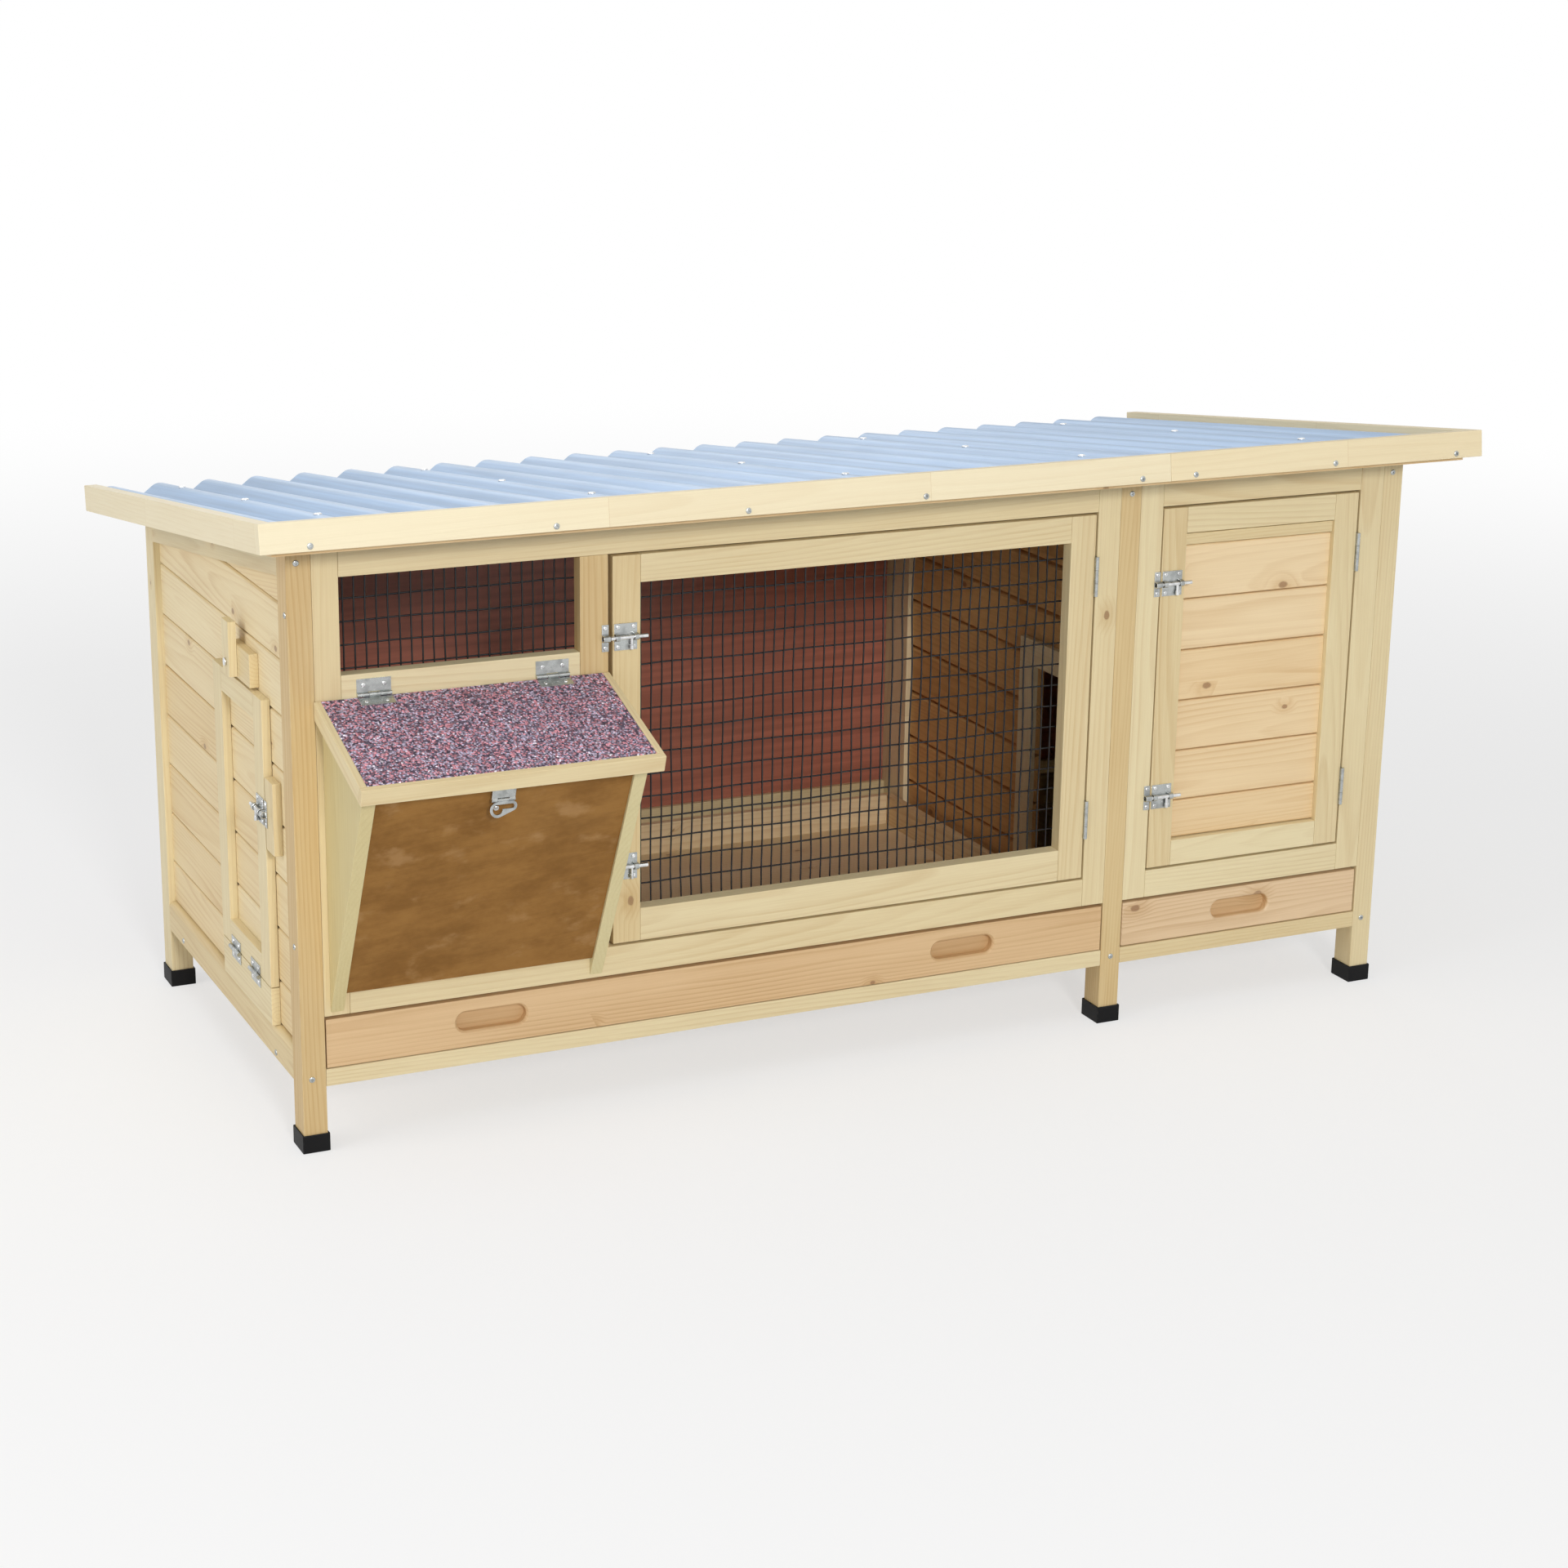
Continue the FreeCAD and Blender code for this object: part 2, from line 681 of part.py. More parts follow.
# Barrel bolts, drawn with x the way the rod shoots and y out of the face
def strap(x0, x1):
    """Guide bent over the rod."""
    half_bend = math.pi / bolt_strap_bends / 2.0
    inner = (bolt_rod_radius + bolt_clearance) / math.cos(half_bend)
    outer = inner + bolt_strap_wall
    turns = [math.pi * bend / bolt_strap_bends for bend in range(bolt_strap_bends + 1)]

    def arch(radius):
        bends = [Vector(x0, bolt_axis_height + radius * math.sin(t), radius * math.cos(t)) for t in turns]
        feet = [Vector(x0, bolt_plate_thickness, radius), Vector(x0, bolt_plate_thickness, -radius)]
        return feet[:1] + bends + feet[1:]

    return prism(arch(outer) + arch(inner)[::-1], Vector(x1 - x0, 0, 0))


def bolt_plate():
    half = bolt_plate_height / 2.0
    plate = block(0, bolt_plate_length, 0, bolt_plate_thickness, -half, half)
    rear = strap(0, bolt_strap_width)
    fore = strap(bolt_plate_length - bolt_strap_width, bolt_plate_length)
    return plate.fuse([rear, fore]).removeSplitter()


def bolt_keeper():
    half = bolt_plate_height / 2.0
    plate = block(0, bolt_keeper_width, 0, bolt_plate_thickness, -half, half)
    return plate.fuse(strap(0, bolt_keeper_width)).removeSplitter()


def bolt_rod(reach, drop):
    """Rod with its hanging knob, drawn back so that its tip stops short of the keeper."""
    tip = bolt_plate_length + reach - bolt_tip_gap
    tail = -bolt_tail - bolt_travel
    rod = slender_bar(bolt_rod_radius, Vector(tail, bolt_axis_height, 0), Vector(tip - tail, 0, 0))
    knob_x = bolt_strap_width + bolt_clearance + bolt_knob_end_radius
    hang = Vector(0, 0, drop)
    start = Vector(knob_x, bolt_axis_height, 0)
    arm = slender_bar(bolt_knob_radius, start, hang * bolt_knob_drop)
    end = start + hang * (bolt_knob_drop - bolt_knob_end_length)
    grip = slender_bar(bolt_knob_end_radius, end, hang * bolt_knob_end_length)
    return rod.fuse([arm, grip]).removeSplitter()


def make_bolts():
    keepers = []
    left = Vector(-1, 0, 0)
    out = Vector(0, -1, 0)
    doors = (("mesh_door", mesh_door_left, mesh_latch_gap), ("nest_door", nest_door_left, nest_latch_gap))
    for door, edge, gap in doors:
        reach = bolt_plate_inset + gap
        plates = []
        for z, level in zip(bolt_heights, ("lower", "upper")):
            origin = Vector(edge + bolt_plate_inset + bolt_plate_length, 0, z)
            plates.append(aimed(bolt_plate(), origin, left, out))
            keepers.append(aimed(bolt_keeper(), Vector(edge - gap, 0, z), left, out))
            add(door + "_" + level + "_bolt", aimed(bolt_rod(reach, -1.0), origin, left, out))
        add(door + "_bolt_plates", *plates)

    forward = Vector(0, -1, 0)
    away = Vector(-1, 0, 0)
    reach = bolt_plate_inset + slat_gap
    origin = Vector(ramp_face_x, ramp_front + bolt_plate_inset + bolt_plate_length, ramp_bolt_z)
    add("ramp_bolt_plate", aimed(bolt_plate(), origin, forward, away))
    add("ramp_bolt", aimed(bolt_rod(reach, 1.0), origin, forward, away))
    keeper_place = Vector(ramp_face_x, ramp_front - slat_gap, ramp_bolt_z)
    keepers.append(aimed(bolt_keeper(), keeper_place, forward, away))
    add("bolt_keepers", *keepers)


# The two front doors
def make_mesh_door():
    left = mesh_door_left
    right = mesh_door_right
    inner_left = left + door_stile_width
    inner_right = right - door_stile_width
    opening_bottom = door_bottom + mesh_bottom_rail_height
    opening_top = door_top - door_rail_height
    add("mesh_door_frame",
        block(left, inner_left, 0, frame_thickness, door_bottom, door_top),
        block(inner_right, right, 0, frame_thickness, door_bottom, door_top),
        block(inner_left, inner_right, 0, frame_thickness, opening_top, door_top),
        block(inner_left, inner_right, 0, frame_thickness, door_bottom, opening_bottom))
    add("mesh_door_wire", *wire_mesh(inner_left - wire_lap, inner_right + wire_lap,
                                     opening_bottom - wire_lap, opening_top + wire_lap, frame_thickness))


def make_nest_door():
    left = nest_door_left
    right = nest_door_right
    inner_left = left + door_stile_width
    inner_right = right - door_stile_width
    rail_top = door_bottom + door_rail_height
    rail_bottom = door_top - door_rail_height
    batten_bottom = rail_bottom - nest_batten_height
    board_inner = nest_board_recess + board_thickness
    add("nest_door_frame",
        block(left, inner_left, 0, frame_thickness, door_bottom, door_top),
        block(inner_right, right, 0, frame_thickness, door_bottom, door_top),
        block(inner_left, inner_right, 0, frame_thickness, rail_bottom, door_top),
        block(inner_left, inner_right, nest_board_recess / 2.0, board_inner, batten_bottom, rail_bottom),
        block(inner_left, inner_right, 0, frame_thickness, door_bottom, rail_top))
    rows = board_rows(rail_top, batten_bottom, nest_board_line)
    add("nest_door_boards",
        *[plank(z0, z1, nest_board_recess, board_inner, inner_left, inner_right, True) for z0, z1 in rows])


# Drawers under the two bays
def finger_slot(x, z):
    """Obround recess for the fingers, wide along x."""
    radius = slot_height / 2.0
    half = slot_width / 2.0 - radius
    deep = drawer_setback + slot_depth
    slot = block(x - half, x + half, 0, deep, z - radius, z + radius)
    for end in (x - half, x + half):
        slot = slot.fuse(Part.makeCylinder(radius, deep, Vector(end, 0, z), Vector(0, 1, 0)))
    return slot.removeSplitter()


def make_drawer(name, x0, x1, slots):
    front_y = drawer_setback
    tray_y = drawer_setback + drawer_front_thickness
    z0 = drawer_front_z
    z1 = z0 + drawer_front_height
    middle_z = (z0 + z1) / 2.0
    front = block(x0 + drawer_side_gap, x1 - drawer_side_gap, front_y, tray_y, z0, z1)
    for x in slots:
        front = front.cut(finger_slot(x, middle_z))
    rims = [e for e in front.Edges if abs(e.BoundBox.YMax - front_y) < pin_clearance and
            abs(e.BoundBox.ZMin - z0) > slot_bevel and abs(e.BoundBox.ZMax - z1) > slot_bevel]
    add(name + "_front", front.makeChamfer(slot_bevel, rims))

    tray_left = x0 + tray_side_gap
    tray_right = x1 - tray_side_gap
    tray_back = back_post_y - tray_back_gap
    floor_z = base_top + runner_clearance
    wall_z = floor_z + tray_floor
    top_z = floor_z + tray_height
    add(name + "_tray",
        block(tray_left, tray_right, tray_y, tray_back, floor_z, wall_z),
        block(tray_left, tray_left + tray_wall, tray_y, tray_back, wall_z, top_z),
        block(tray_right - tray_wall, tray_right, tray_y, tray_back, wall_z, top_z),
        block(tray_left + tray_wall, tray_right - tray_wall, tray_back - tray_wall, tray_back, wall_z, top_z))


def make_drawers():
    living_middle = (living_bay_x + middle_post_x) / 2.0
    nest_middle = (nest_bay_x + right_post_x) / 2.0
    spread = left_slot_spacing / 2.0
    make_drawer("left_drawer", living_bay_x, middle_post_x, (living_middle - spread, living_middle + spread))
    make_drawer("right_drawer", nest_bay_x, right_post_x, (nest_middle,))


# Hay feeder with its lid and hasp
def lid_under(y):
    """Height of the underside of the lid's board at a depth."""
    below = lid_felt_thickness + lid_board_thickness + lid_seat_gap
    return lid_back_z + (y + lid_wall_gap) * math.tan(lid_lean) - below / math.cos(lid_lean)


def feeder_front_corner(inset, gap):
    """Point where the leaning front, set in by an inset, meets the space under the lid."""
    lean = math.tan(math.radians(cheek_lean))
    foot_z = bottom_rail_z + cheek_foot
    shift = inset / math.cos(math.radians(cheek_lean))
    top = lid_under(0.0) - gap
    y = (shift - lean * (top - foot_z)) / (1.0 + lean * math.tan(lid_lean))
    return Vector(0, y, lid_under(y) - gap)


def down_lid(point):
    """Distance of a point from the lid's back edge, along the lid's slope."""
    return -(point.y + lid_wall_gap) * math.cos(lid_lean) - (point.z - lid_back_z) * math.sin(lid_lean)


def make_feeder():
    lean = math.tan(math.radians(cheek_lean))
    foot_z = bottom_rail_z + cheek_foot
    tip = feeder_front_corner(0.0, 0.0)
    cheeks = []
    for x in (cheek_left_x, cheek_right_x):
        corners = [Vector(x, 0, foot_z), Vector(x, tip.y, tip.z), Vector(x, 0, lid_under(0.0))]
        cheeks.append(prism(corners, Vector(cheek_thickness, 0, 0)))
    add("feeder_cheeks", *cheeks)

    x = cheek_left_x + cheek_thickness
    low_z = bottom_rail_z + feeder_panel_lift
    front_top = feeder_front_corner(feeder_panel_inset, feeder_panel_gap)
    back_top = feeder_front_corner(feeder_panel_inset + panel_thickness, feeder_panel_gap)
    run = math.cos(math.radians(cheek_lean))
    front_low = feeder_panel_inset / run - lean * (low_z - foot_z)
    back_low = (feeder_panel_inset + panel_thickness) / run - lean * (low_z - foot_z)
    corners = [Vector(x, front_low, low_z), Vector(x, front_top.y, front_top.z),
               Vector(x, back_top.y, back_top.z), Vector(x, back_low, low_z)]
    add("feeder_front_panel", prism(corners, Vector(cheek_right_x - x, 0, 0)))

    bars = []
    spacing = window_width / (rack_bar_count + 1)
    half = rack_bar_size / 2.0
    bar_y = frame_thickness / 2.0
    for index in range(rack_bar_count):
        bar_x = window_x + spacing * (index + 1)
        bars.append(block(bar_x - half, bar_x + half, bar_y - half, bar_y + half,
                          bottom_rail_top, window_rail_z))
    add("hay_rack_bars", *bars)


def make_lid():
    wall = block(lid_left, lid_right, -lid_wall_gap, body_depth, 0, front_height)
    inner_left = lid_left + lid_trim_width
    inner_right = lid_right - lid_trim_width
    front = -down_lid(feeder_front_corner(0.0, 0.0)) - lid_front_overhang
    inner_front = front + lid_trim_width
    felt_z = -lid_felt_thickness
    board_z = felt_z - lid_board_thickness
    back = lid_trim_height

    def lid_piece(x0, x1, y0, y1, z0, z1):
        return on_lid(block(x0, x1, y0, y1, z0, z1)).cut(wall)

    add("lid_trim",
        lid_piece(lid_left, lid_right, front, inner_front, -lid_trim_height, 0),
        lid_piece(lid_left, inner_left, inner_front, back, -lid_trim_height, 0),
        lid_piece(inner_right, lid_right, inner_front, back, -lid_trim_height, 0))
    add("lid_board", lid_piece(inner_left, inner_right, inner_front, back, board_z, felt_z))
    add("lid_felt", lid_piece(inner_left, inner_right, inner_front, back, felt_z, 0))


def make_hasp():
    board_z = -lid_felt_thickness - lid_board_thickness
    plate_y = -down_lid(feeder_front_corner(feeder_panel_inset, feeder_panel_gap)) - hasp_panel_gap
    knuckle_z = board_z - hasp_drop
    half = hasp_width / 2.0
    centre = half / 2.0
    x0 = hasp_middle - half
    section = [Vector(x0, plate_y, board_z), Vector(x0, plate_y - hasp_foot, board_z),
               Vector(x0, plate_y - hasp_foot, board_z - hasp_thickness),
               Vector(x0, plate_y - hasp_thickness, board_z - hasp_thickness),
               Vector(x0, plate_y - hasp_thickness, knuckle_z), Vector(x0, plate_y, knuckle_z)]
    plate = prism(section, Vector(hasp_width, 0, 0))
    axis_y = plate_y - hasp_thickness / 2.0
    room = hasp_knuckle_radius + knuckle_gap
    plate = plate.cut(block(hasp_middle - centre, hasp_middle + centre, axis_y - room, axis_y + room,
                            knuckle_z - room, knuckle_z + room))
    along = Vector(1, 0, 0)
    for start_x in (x0, hasp_middle + centre):
        start = Vector(start_x, axis_y, knuckle_z)
        plate = plate.fuse(slender_bar(hasp_knuckle_radius, start, along * centre))
    start = Vector(hasp_middle - centre, axis_y, knuckle_z)
    pin = Part.makeCylinder(hasp_pin_radius, 2.0 * centre, start, along)
    add("hasp_plate", on_lid(plate.fuse(pin).removeSplitter()))

    axis = Vector(0, axis_y, knuckle_z)
    axis = FreeCAD.Rotation(along, lid_slope).multVec(axis) + Vector(0, -lid_wall_gap, lid_back_z)
    add("hasp_leaf", hasp_leaf(axis, centre - knuckle_gap))

    # Knob on the feeder's front, where the keyhole comes to lie when the leaf swings in
    lean = math.radians(cheek_lean)
    outward = Vector(0, -math.cos(lean), -math.sin(lean))
    down_face = Vector(0, math.sin(lean), -math.cos(lean))
    face_foot = Vector(0, feeder_panel_inset / math.cos(lean), bottom_rail_z + cheek_foot)
    down = (axis - face_foot).dot(down_face) + hasp_knuckle_radius + hasp_leaf_round_radius
    root = face_foot + down_face * down
    root.x = hasp_middle - hasp_leaf_width / 2.0 + hasp_leaf_round_radius
    stem = Part.makeCylinder(knob_stem_radius, knob_length, root, outward)
    head_root = root + outward * (knob_length - knob_stem_radius)
    head = Part.makeCylinder(knob_radius, knob_stem_radius, head_root, outward)
    add("hasp_knob", stem.fuse(head).removeSplitter())
    return axis


def hasp_leaf(axis, half_knuckle):
    """Keyhole-shaped leaf that hangs straight down from its pin."""
    middle_z = axis.z - hasp_knuckle_radius - hasp_leaf_round_radius
    round_x = hasp_middle - hasp_leaf_width / 2.0 + hasp_leaf_round_radius
    slot_x = hasp_middle + hasp_leaf_width / 2.0 - hasp_leaf_slot_radius
    y0 = axis.y - hasp_thickness / 2.0
    depth = Vector(0, 1, 0)

    round_centre = Vector(round_x, y0, middle_z)
    slot_centre = Vector(slot_x, y0, middle_z + hasp_leaf_round_radius - hasp_leaf_slot_radius)
    line = (slot_centre - round_centre).normalize()
    above = Vector(0, 0, 1)
    below = line * (2.0 * line.dot(above)) - above

    def discs(round_radius, slot_radius):
        return [Part.makeCylinder(round_radius, hasp_thickness, round_centre, depth),
                Part.makeCylinder(slot_radius, hasp_thickness, slot_centre, depth)]

    big = hasp_leaf_round_radius
    small = hasp_leaf_slot_radius
    hull = prism([round_centre + above * big, round_centre + below * big,
                  slot_centre + below * small, slot_centre + above * small], depth * hasp_thickness)
    hole = discs(big - hasp_leaf_rim, small - hasp_leaf_rim)
    hole.append(block(round_x, slot_x, y0, y0 + hasp_thickness,
                      slot_centre.z - small + hasp_leaf_rim, slot_centre.z + small - hasp_leaf_rim))

    x0 = hasp_middle - half_knuckle
    along = Vector(2.0 * half_knuckle, 0, 0)
    start = Vector(x0, axis.y, axis.z)
    web = block(x0, x0 + along.x, y0, y0 + hasp_thickness, middle_z, axis.z)
    leaf = hull.fuse(discs(big, small) + [web, slender_bar(hasp_knuckle_radius, start, along)])
    leaf = leaf.cut(hole)
    bore = Part.makeCylinder(hasp_pin_radius + pin_clearance, along.x, start, Vector(1, 0, 0))
    return leaf.cut(bore).removeSplitter()


# Ramp door with its sill, keeper slat and turn button
def make_ramp():
    face = ramp_face_x
    seat = face + ramp_frame_thickness
    rail_top = ramp_bottom + ramp_rail_height
    rail_low = ramp_top - ramp_rail_height
    inner_front = ramp_front + ramp_stile_width
    inner_back = ramp_back - ramp_stile_width
    add("ramp_frame",
        block(face, seat, ramp_front, inner_front, ramp_bottom, ramp_top),
        block(face, seat, inner_back, ramp_back, ramp_bottom, ramp_top),
        block(face, seat, inner_front, inner_back, ramp_bottom, rail_top),
        block(face, seat, inner_front, inner_back, rail_low, ramp_top))
    low = ramp_way_bottom + ramp_board_gap
    high = ramp_way_top - ramp_board_gap
    rows = board_rows(low, high, wall_board_line)
    add("ramp_boards",
        *[plank(z0, z1, seat, seat + board_thickness, ramp_way_front + ramp_board_gap,
                ramp_way_back - ramp_board_gap, False) for z0, z1 in rows])

    add("ramp_sill", block(face, board_recess, ramp_front, ramp_back, side_rail_top, ramp_sill_top))
    slat_back = ramp_front - slat_gap
    slat_low = ramp_bolt_z - slat_height / 2.0
    slat_top = slat_low + slat_height
    add("keeper_slat", block(face, board_recess, slat_back - slat_width, slat_back, slat_low, slat_top))

    block_face = button_back_x + ramp_seat_gap
    block_low = ramp_top + button_block_gap
    block_back = button_y + button_short_end
    add("button_block", block(block_face, board_recess, block_back - button_block_width, block_back,
                              block_low, block_low + button_block_height))
    half = button_width / 2.0
    button_front_x = button_back_x - button_thickness
    button = block(button_front_x, button_back_x, button_y - half, button_y + half,
                   button_z - button_short_end, button_z + button_long_end)
    along = Vector(1, 0, 0)
    pivot = Vector(button_front_x, button_y, button_z)
    bore = Part.makeCylinder(button_screw_radius + pin_clearance, button_thickness, pivot, along)
    add("turn_button", button.cut(bore))
    head_seat = pivot - along * ramp_seat_gap
    shank = Part.makeCylinder(button_screw_radius, block_face - head_seat.x, head_seat, along)
    head_face = head_seat - along * button_screw_head
    head = Part.makeCylinder(button_screw_head_radius, button_screw_head, head_face, along)
    add("button_screw", shank.fuse(head).removeSplitter())


make_posts()
make_base()
make_front_frame()
make_window()
make_side_walls()
make_partition()
make_roof()
make_hinges()
make_bolts()
make_mesh_door()
make_nest_door()
make_drawers()
make_feeder()
make_lid()
hasp_axis = make_hasp()
make_ramp()

# The row's origin: middle of the whole footprint, on the floor
whole = Part.makeCompound(list(parts.values())).BoundBox
origin = Vector((whole.XMin + whole.XMax) / 2.0, (whole.YMin + whole.YMax) / 2.0, 0)
os.makedirs("parts", exist_ok=True)
for name, shape in parts.items():
    shape.translate(-origin)
    shape.exportStep("parts/" + name + ".step")
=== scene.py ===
import functools
import json
import math
import random
import zlib

import bmesh
import bpy
from bpy.props import FloatProperty, FloatVectorProperty, IntProperty, PointerProperty
from mathutils import Matrix, Vector
from mathutils.bvhtree import BVHTree


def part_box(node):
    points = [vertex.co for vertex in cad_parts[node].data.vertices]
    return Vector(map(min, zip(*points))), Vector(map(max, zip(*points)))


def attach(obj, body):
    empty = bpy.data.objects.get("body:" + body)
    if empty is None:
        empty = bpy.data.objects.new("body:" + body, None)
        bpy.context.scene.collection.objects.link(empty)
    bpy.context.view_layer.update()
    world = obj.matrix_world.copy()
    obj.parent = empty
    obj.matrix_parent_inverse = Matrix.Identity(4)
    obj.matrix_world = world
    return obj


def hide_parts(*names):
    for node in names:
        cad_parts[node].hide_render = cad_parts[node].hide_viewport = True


bl_info = {
    "name": "Garden hutch",
    "version": (1, 0, 0),
    "blender": (4, 5, 0),
    "location": "View3D > Sidebar > Hutch",
    "description": "Dresses the solids of a wooden garden hutch with timber, wire, fittings and roofing",
    "category": "Add Mesh",
}

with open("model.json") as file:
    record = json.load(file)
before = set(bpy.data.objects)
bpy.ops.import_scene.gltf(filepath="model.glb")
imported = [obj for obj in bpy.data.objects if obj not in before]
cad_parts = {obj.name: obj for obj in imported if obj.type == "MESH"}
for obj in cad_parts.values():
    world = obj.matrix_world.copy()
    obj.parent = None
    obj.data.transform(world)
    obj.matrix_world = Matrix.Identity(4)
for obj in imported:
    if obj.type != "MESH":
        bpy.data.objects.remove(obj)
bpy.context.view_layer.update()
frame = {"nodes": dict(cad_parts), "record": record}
BODY_OF = {node: body for body, nodes in frame["record"]["behaviour"]["bodies"].items() for node in nodes}

# Directions in the shared frame: the front of the hutch looks along -Y, its left side along -X
RIGHT = Vector((1.0, 0.0, 0.0))
BACK = Vector((0.0, 1.0, 0.0))
UP = Vector((0.0, 0.0, 1.0))

# Tone of each piece of timber at the front, from pale to dark
BOARD_TONES = {
    "front_posts": (1.25, 1.0, 0.45),
    "front_stiles": (0.6, 1.1, 0.5, 0.25, 0.4),
    "front_rails": (0.5, 0.5, 0.05, 0.45, 0.2),
    "mesh_door_frame": (0.75, 0.5, 0.4, 0.35),
    "nest_door_frame": (0.6, 0.45, 0.25, 0.6, 0.2),
    "left_drawer_front": (0.9,),
    "right_drawer_front": (0.35,),
}
OTHER_TONES = (0.15, 0.7)

# Where pieces lay in their logs: most lean against the pith, and places along, aside and away from it
LEAN_ACROSS, LEAN_THROUGH = 0.02, 0.03
LOG_LENGTH, LOG_ASIDE, LOG_DEPTHS = 60.0, 0.03, (0.012, 0.055)

# Each wood: its material, strength of its rings, share of knots, spread of its tones and roughness
WOODS = {
    "glazed": ("glazed_frame_wood", 0.42, 0.07, 0.75, 0.5),
    "cheek": ("feeder_cheek_wood", 0.3, 0.05, 0.5, 0.5),
    "board": ("knotty_board_wood", 0.62, 0.22, 0.8, 0.55),
    "side": ("side_board_wood", 0.62, 0.22, 0.8, 0.55),
    # The partition's colours carry painted shade and warm bounce light
    "inner": ("partition_wood", 0.6, 0.2, 0.7, 0.6),
    "doorway": ("doorway_frame_wood", 0.42, 0.07, 0.4, 0.55),
    "drawer": ("drawer_front_wood", 0.6, 0.2, 0.6, 0.52),
    "fascia": ("fascia_board_wood", 0.35, 0.05, 0.3, 0.5),
}
NO_STAVES = 100.0

# Edges that are rounded on wood, edges that stay sharp in shading, facets that are one flat face,
# least upward part of a board's upper edge, and steps to a metre that tell points apart
WOOD_EDGE_ANGLE = math.radians(20.0)
SHARP_ANGLE = math.radians(38.0)
FLAT_ANGLE = math.radians(1.0)
FACES_UP = 0.5
POINT_STEPS = 1e6

# A screw's head: share of its radius and height in radii of each ring, its cross in radii,
# and how far before a plate the search for its seat starts
SCREW_SIDES = 20
SCREW_RINGS = ((1.0, 0.0), (1.0, 0.12), (0.93, 0.24), (0.76, 0.33), (0.60, 0.36))
CROSS_ARM, CROSS_HALF_WIDTH, CROSS_FLOOR, CROSS_TAPER = 0.48, 0.11, 0.08, 0.8
SEAT_START = 0.02


# Settings that a user would change
def color_setting(name, description, default):
    return FloatVectorProperty(name=name, description=description, subtype="COLOR", size=3,
                               min=0.0, max=1.0, default=default)


def length_setting(name, description, default):
    return FloatProperty(name=name, description=description, default=default, min=0.0,
                         unit="LENGTH", precision=5)


def power_setting(name, description, default):
    return FloatProperty(name=name, description=description, default=default, unit="POWER")


def place_setting(name, description, default):
    return FloatVectorProperty(name=name, description=description, subtype="TRANSLATION", unit="LENGTH",
                               default=default)


class HutchTimber(bpy.types.PropertyGroup):
    glazed_pale: color_setting("Frame wood", "Early wood of the glazed frame", (0.80, 0.69, 0.43))
    glazed_dark: color_setting("Frame grain", "Late wood of the glazed frame", (0.57, 0.40, 0.19))
    # The cheeks' colours are a darker copy of the frame wood: painted shade cast by the lid above
    cheek_pale: color_setting("Feeder cheeks", "Early wood of the feeder's cheeks", (0.68, 0.60, 0.335))
    cheek_dark: color_setting("Cheek grain", "Late wood of the feeder's cheeks", (0.52, 0.42, 0.20))
    board_pale: color_setting("Boards", "Early wood of the nest door and the trays", (0.87, 0.69, 0.43))
    board_dark: color_setting("Board grain", "Late wood of the nest door and the trays", (0.67, 0.45, 0.225))
    side_pale: color_setting("Side boards", "Early wood of the boards on the sides", (0.87, 0.735, 0.465))
    side_dark: color_setting("Side grain", "Late wood of the boards on the sides", (0.67, 0.48, 0.245))
    # The partition's wood is the boards' pine made darker and redder: painted shade and warm bounce light
    # inside the hutch
    inner_pale: color_setting("Partition", "Early wood of the boards inside", (0.80, 0.475, 0.185))
    inner_dark: color_setting("Partition grain", "Late wood of the boards inside", (0.56, 0.295, 0.10))
    doorway_pale: color_setting("Doorway frame", "Early wood of the doorway's frame", (0.93, 0.80, 0.54))
    doorway_dark: color_setting("Doorway grain", "Late wood of the doorway's frame", (0.76, 0.59, 0.35))
    drawer_pale: color_setting("Drawer fronts", "Early wood of the drawer fronts", (0.80, 0.60, 0.38))
    drawer_dark: color_setting("Drawer grain", "Late wood of the drawer fronts", (0.56, 0.365, 0.185))
    fascia_pale: color_setting("Fascias", "Early wood of the roof's edge boards", (0.865, 0.765, 0.535))
    fascia_dark: color_setting("Fascia grain", "Late wood of the roof's edge boards", (0.74, 0.60, 0.375))
    knot: color_setting("Knots", "Heart of a knot", (0.20, 0.075, 0.025))
    plywood: color_setting("Feeder plywood", "Pale figure of the feeder's front", (0.315, 0.158, 0.043))
    plywood_dark: color_setting("Plywood clouds", "Dark clouds in the plywood", (0.215, 0.100, 0.024))
    panel: color_setting("Back panel", "Film-faced panel at the back", (0.46, 0.160, 0.105))
    ring_pitch: length_setting("Ring pitch", "Mean distance between growth rings", 0.0042)
    stave_length: length_setting("Stave length", "Distance between the joints in a fascia", 0.38)
    frame_rounding: length_setting("Frame rounding", "Rounding of the frame's edges", 0.0009)
    drawer_rounding: length_setting("Drawer rounding", "Rounding of the drawer fronts' edges", 0.0017)
    board_rounding: length_setting("Board rounding", "Rounding of the boards' edges", 0.0006)
    board_joint: length_setting("Board joint", "How far each board stands back from a joint", 0.0008)
    inner_joint: length_setting("Partition joint", "How far each board inside stands back", 0.002)
    drawer_trim: length_setting("Drawer trim", "How much is planed off a drawer front's top edge", 0.003)
    # Darker tone in the drawers' finger recesses: painted shade
    recess_tone: FloatProperty(name="Recess tone", description="How much darker the finger recesses are",
                               default=0.8)


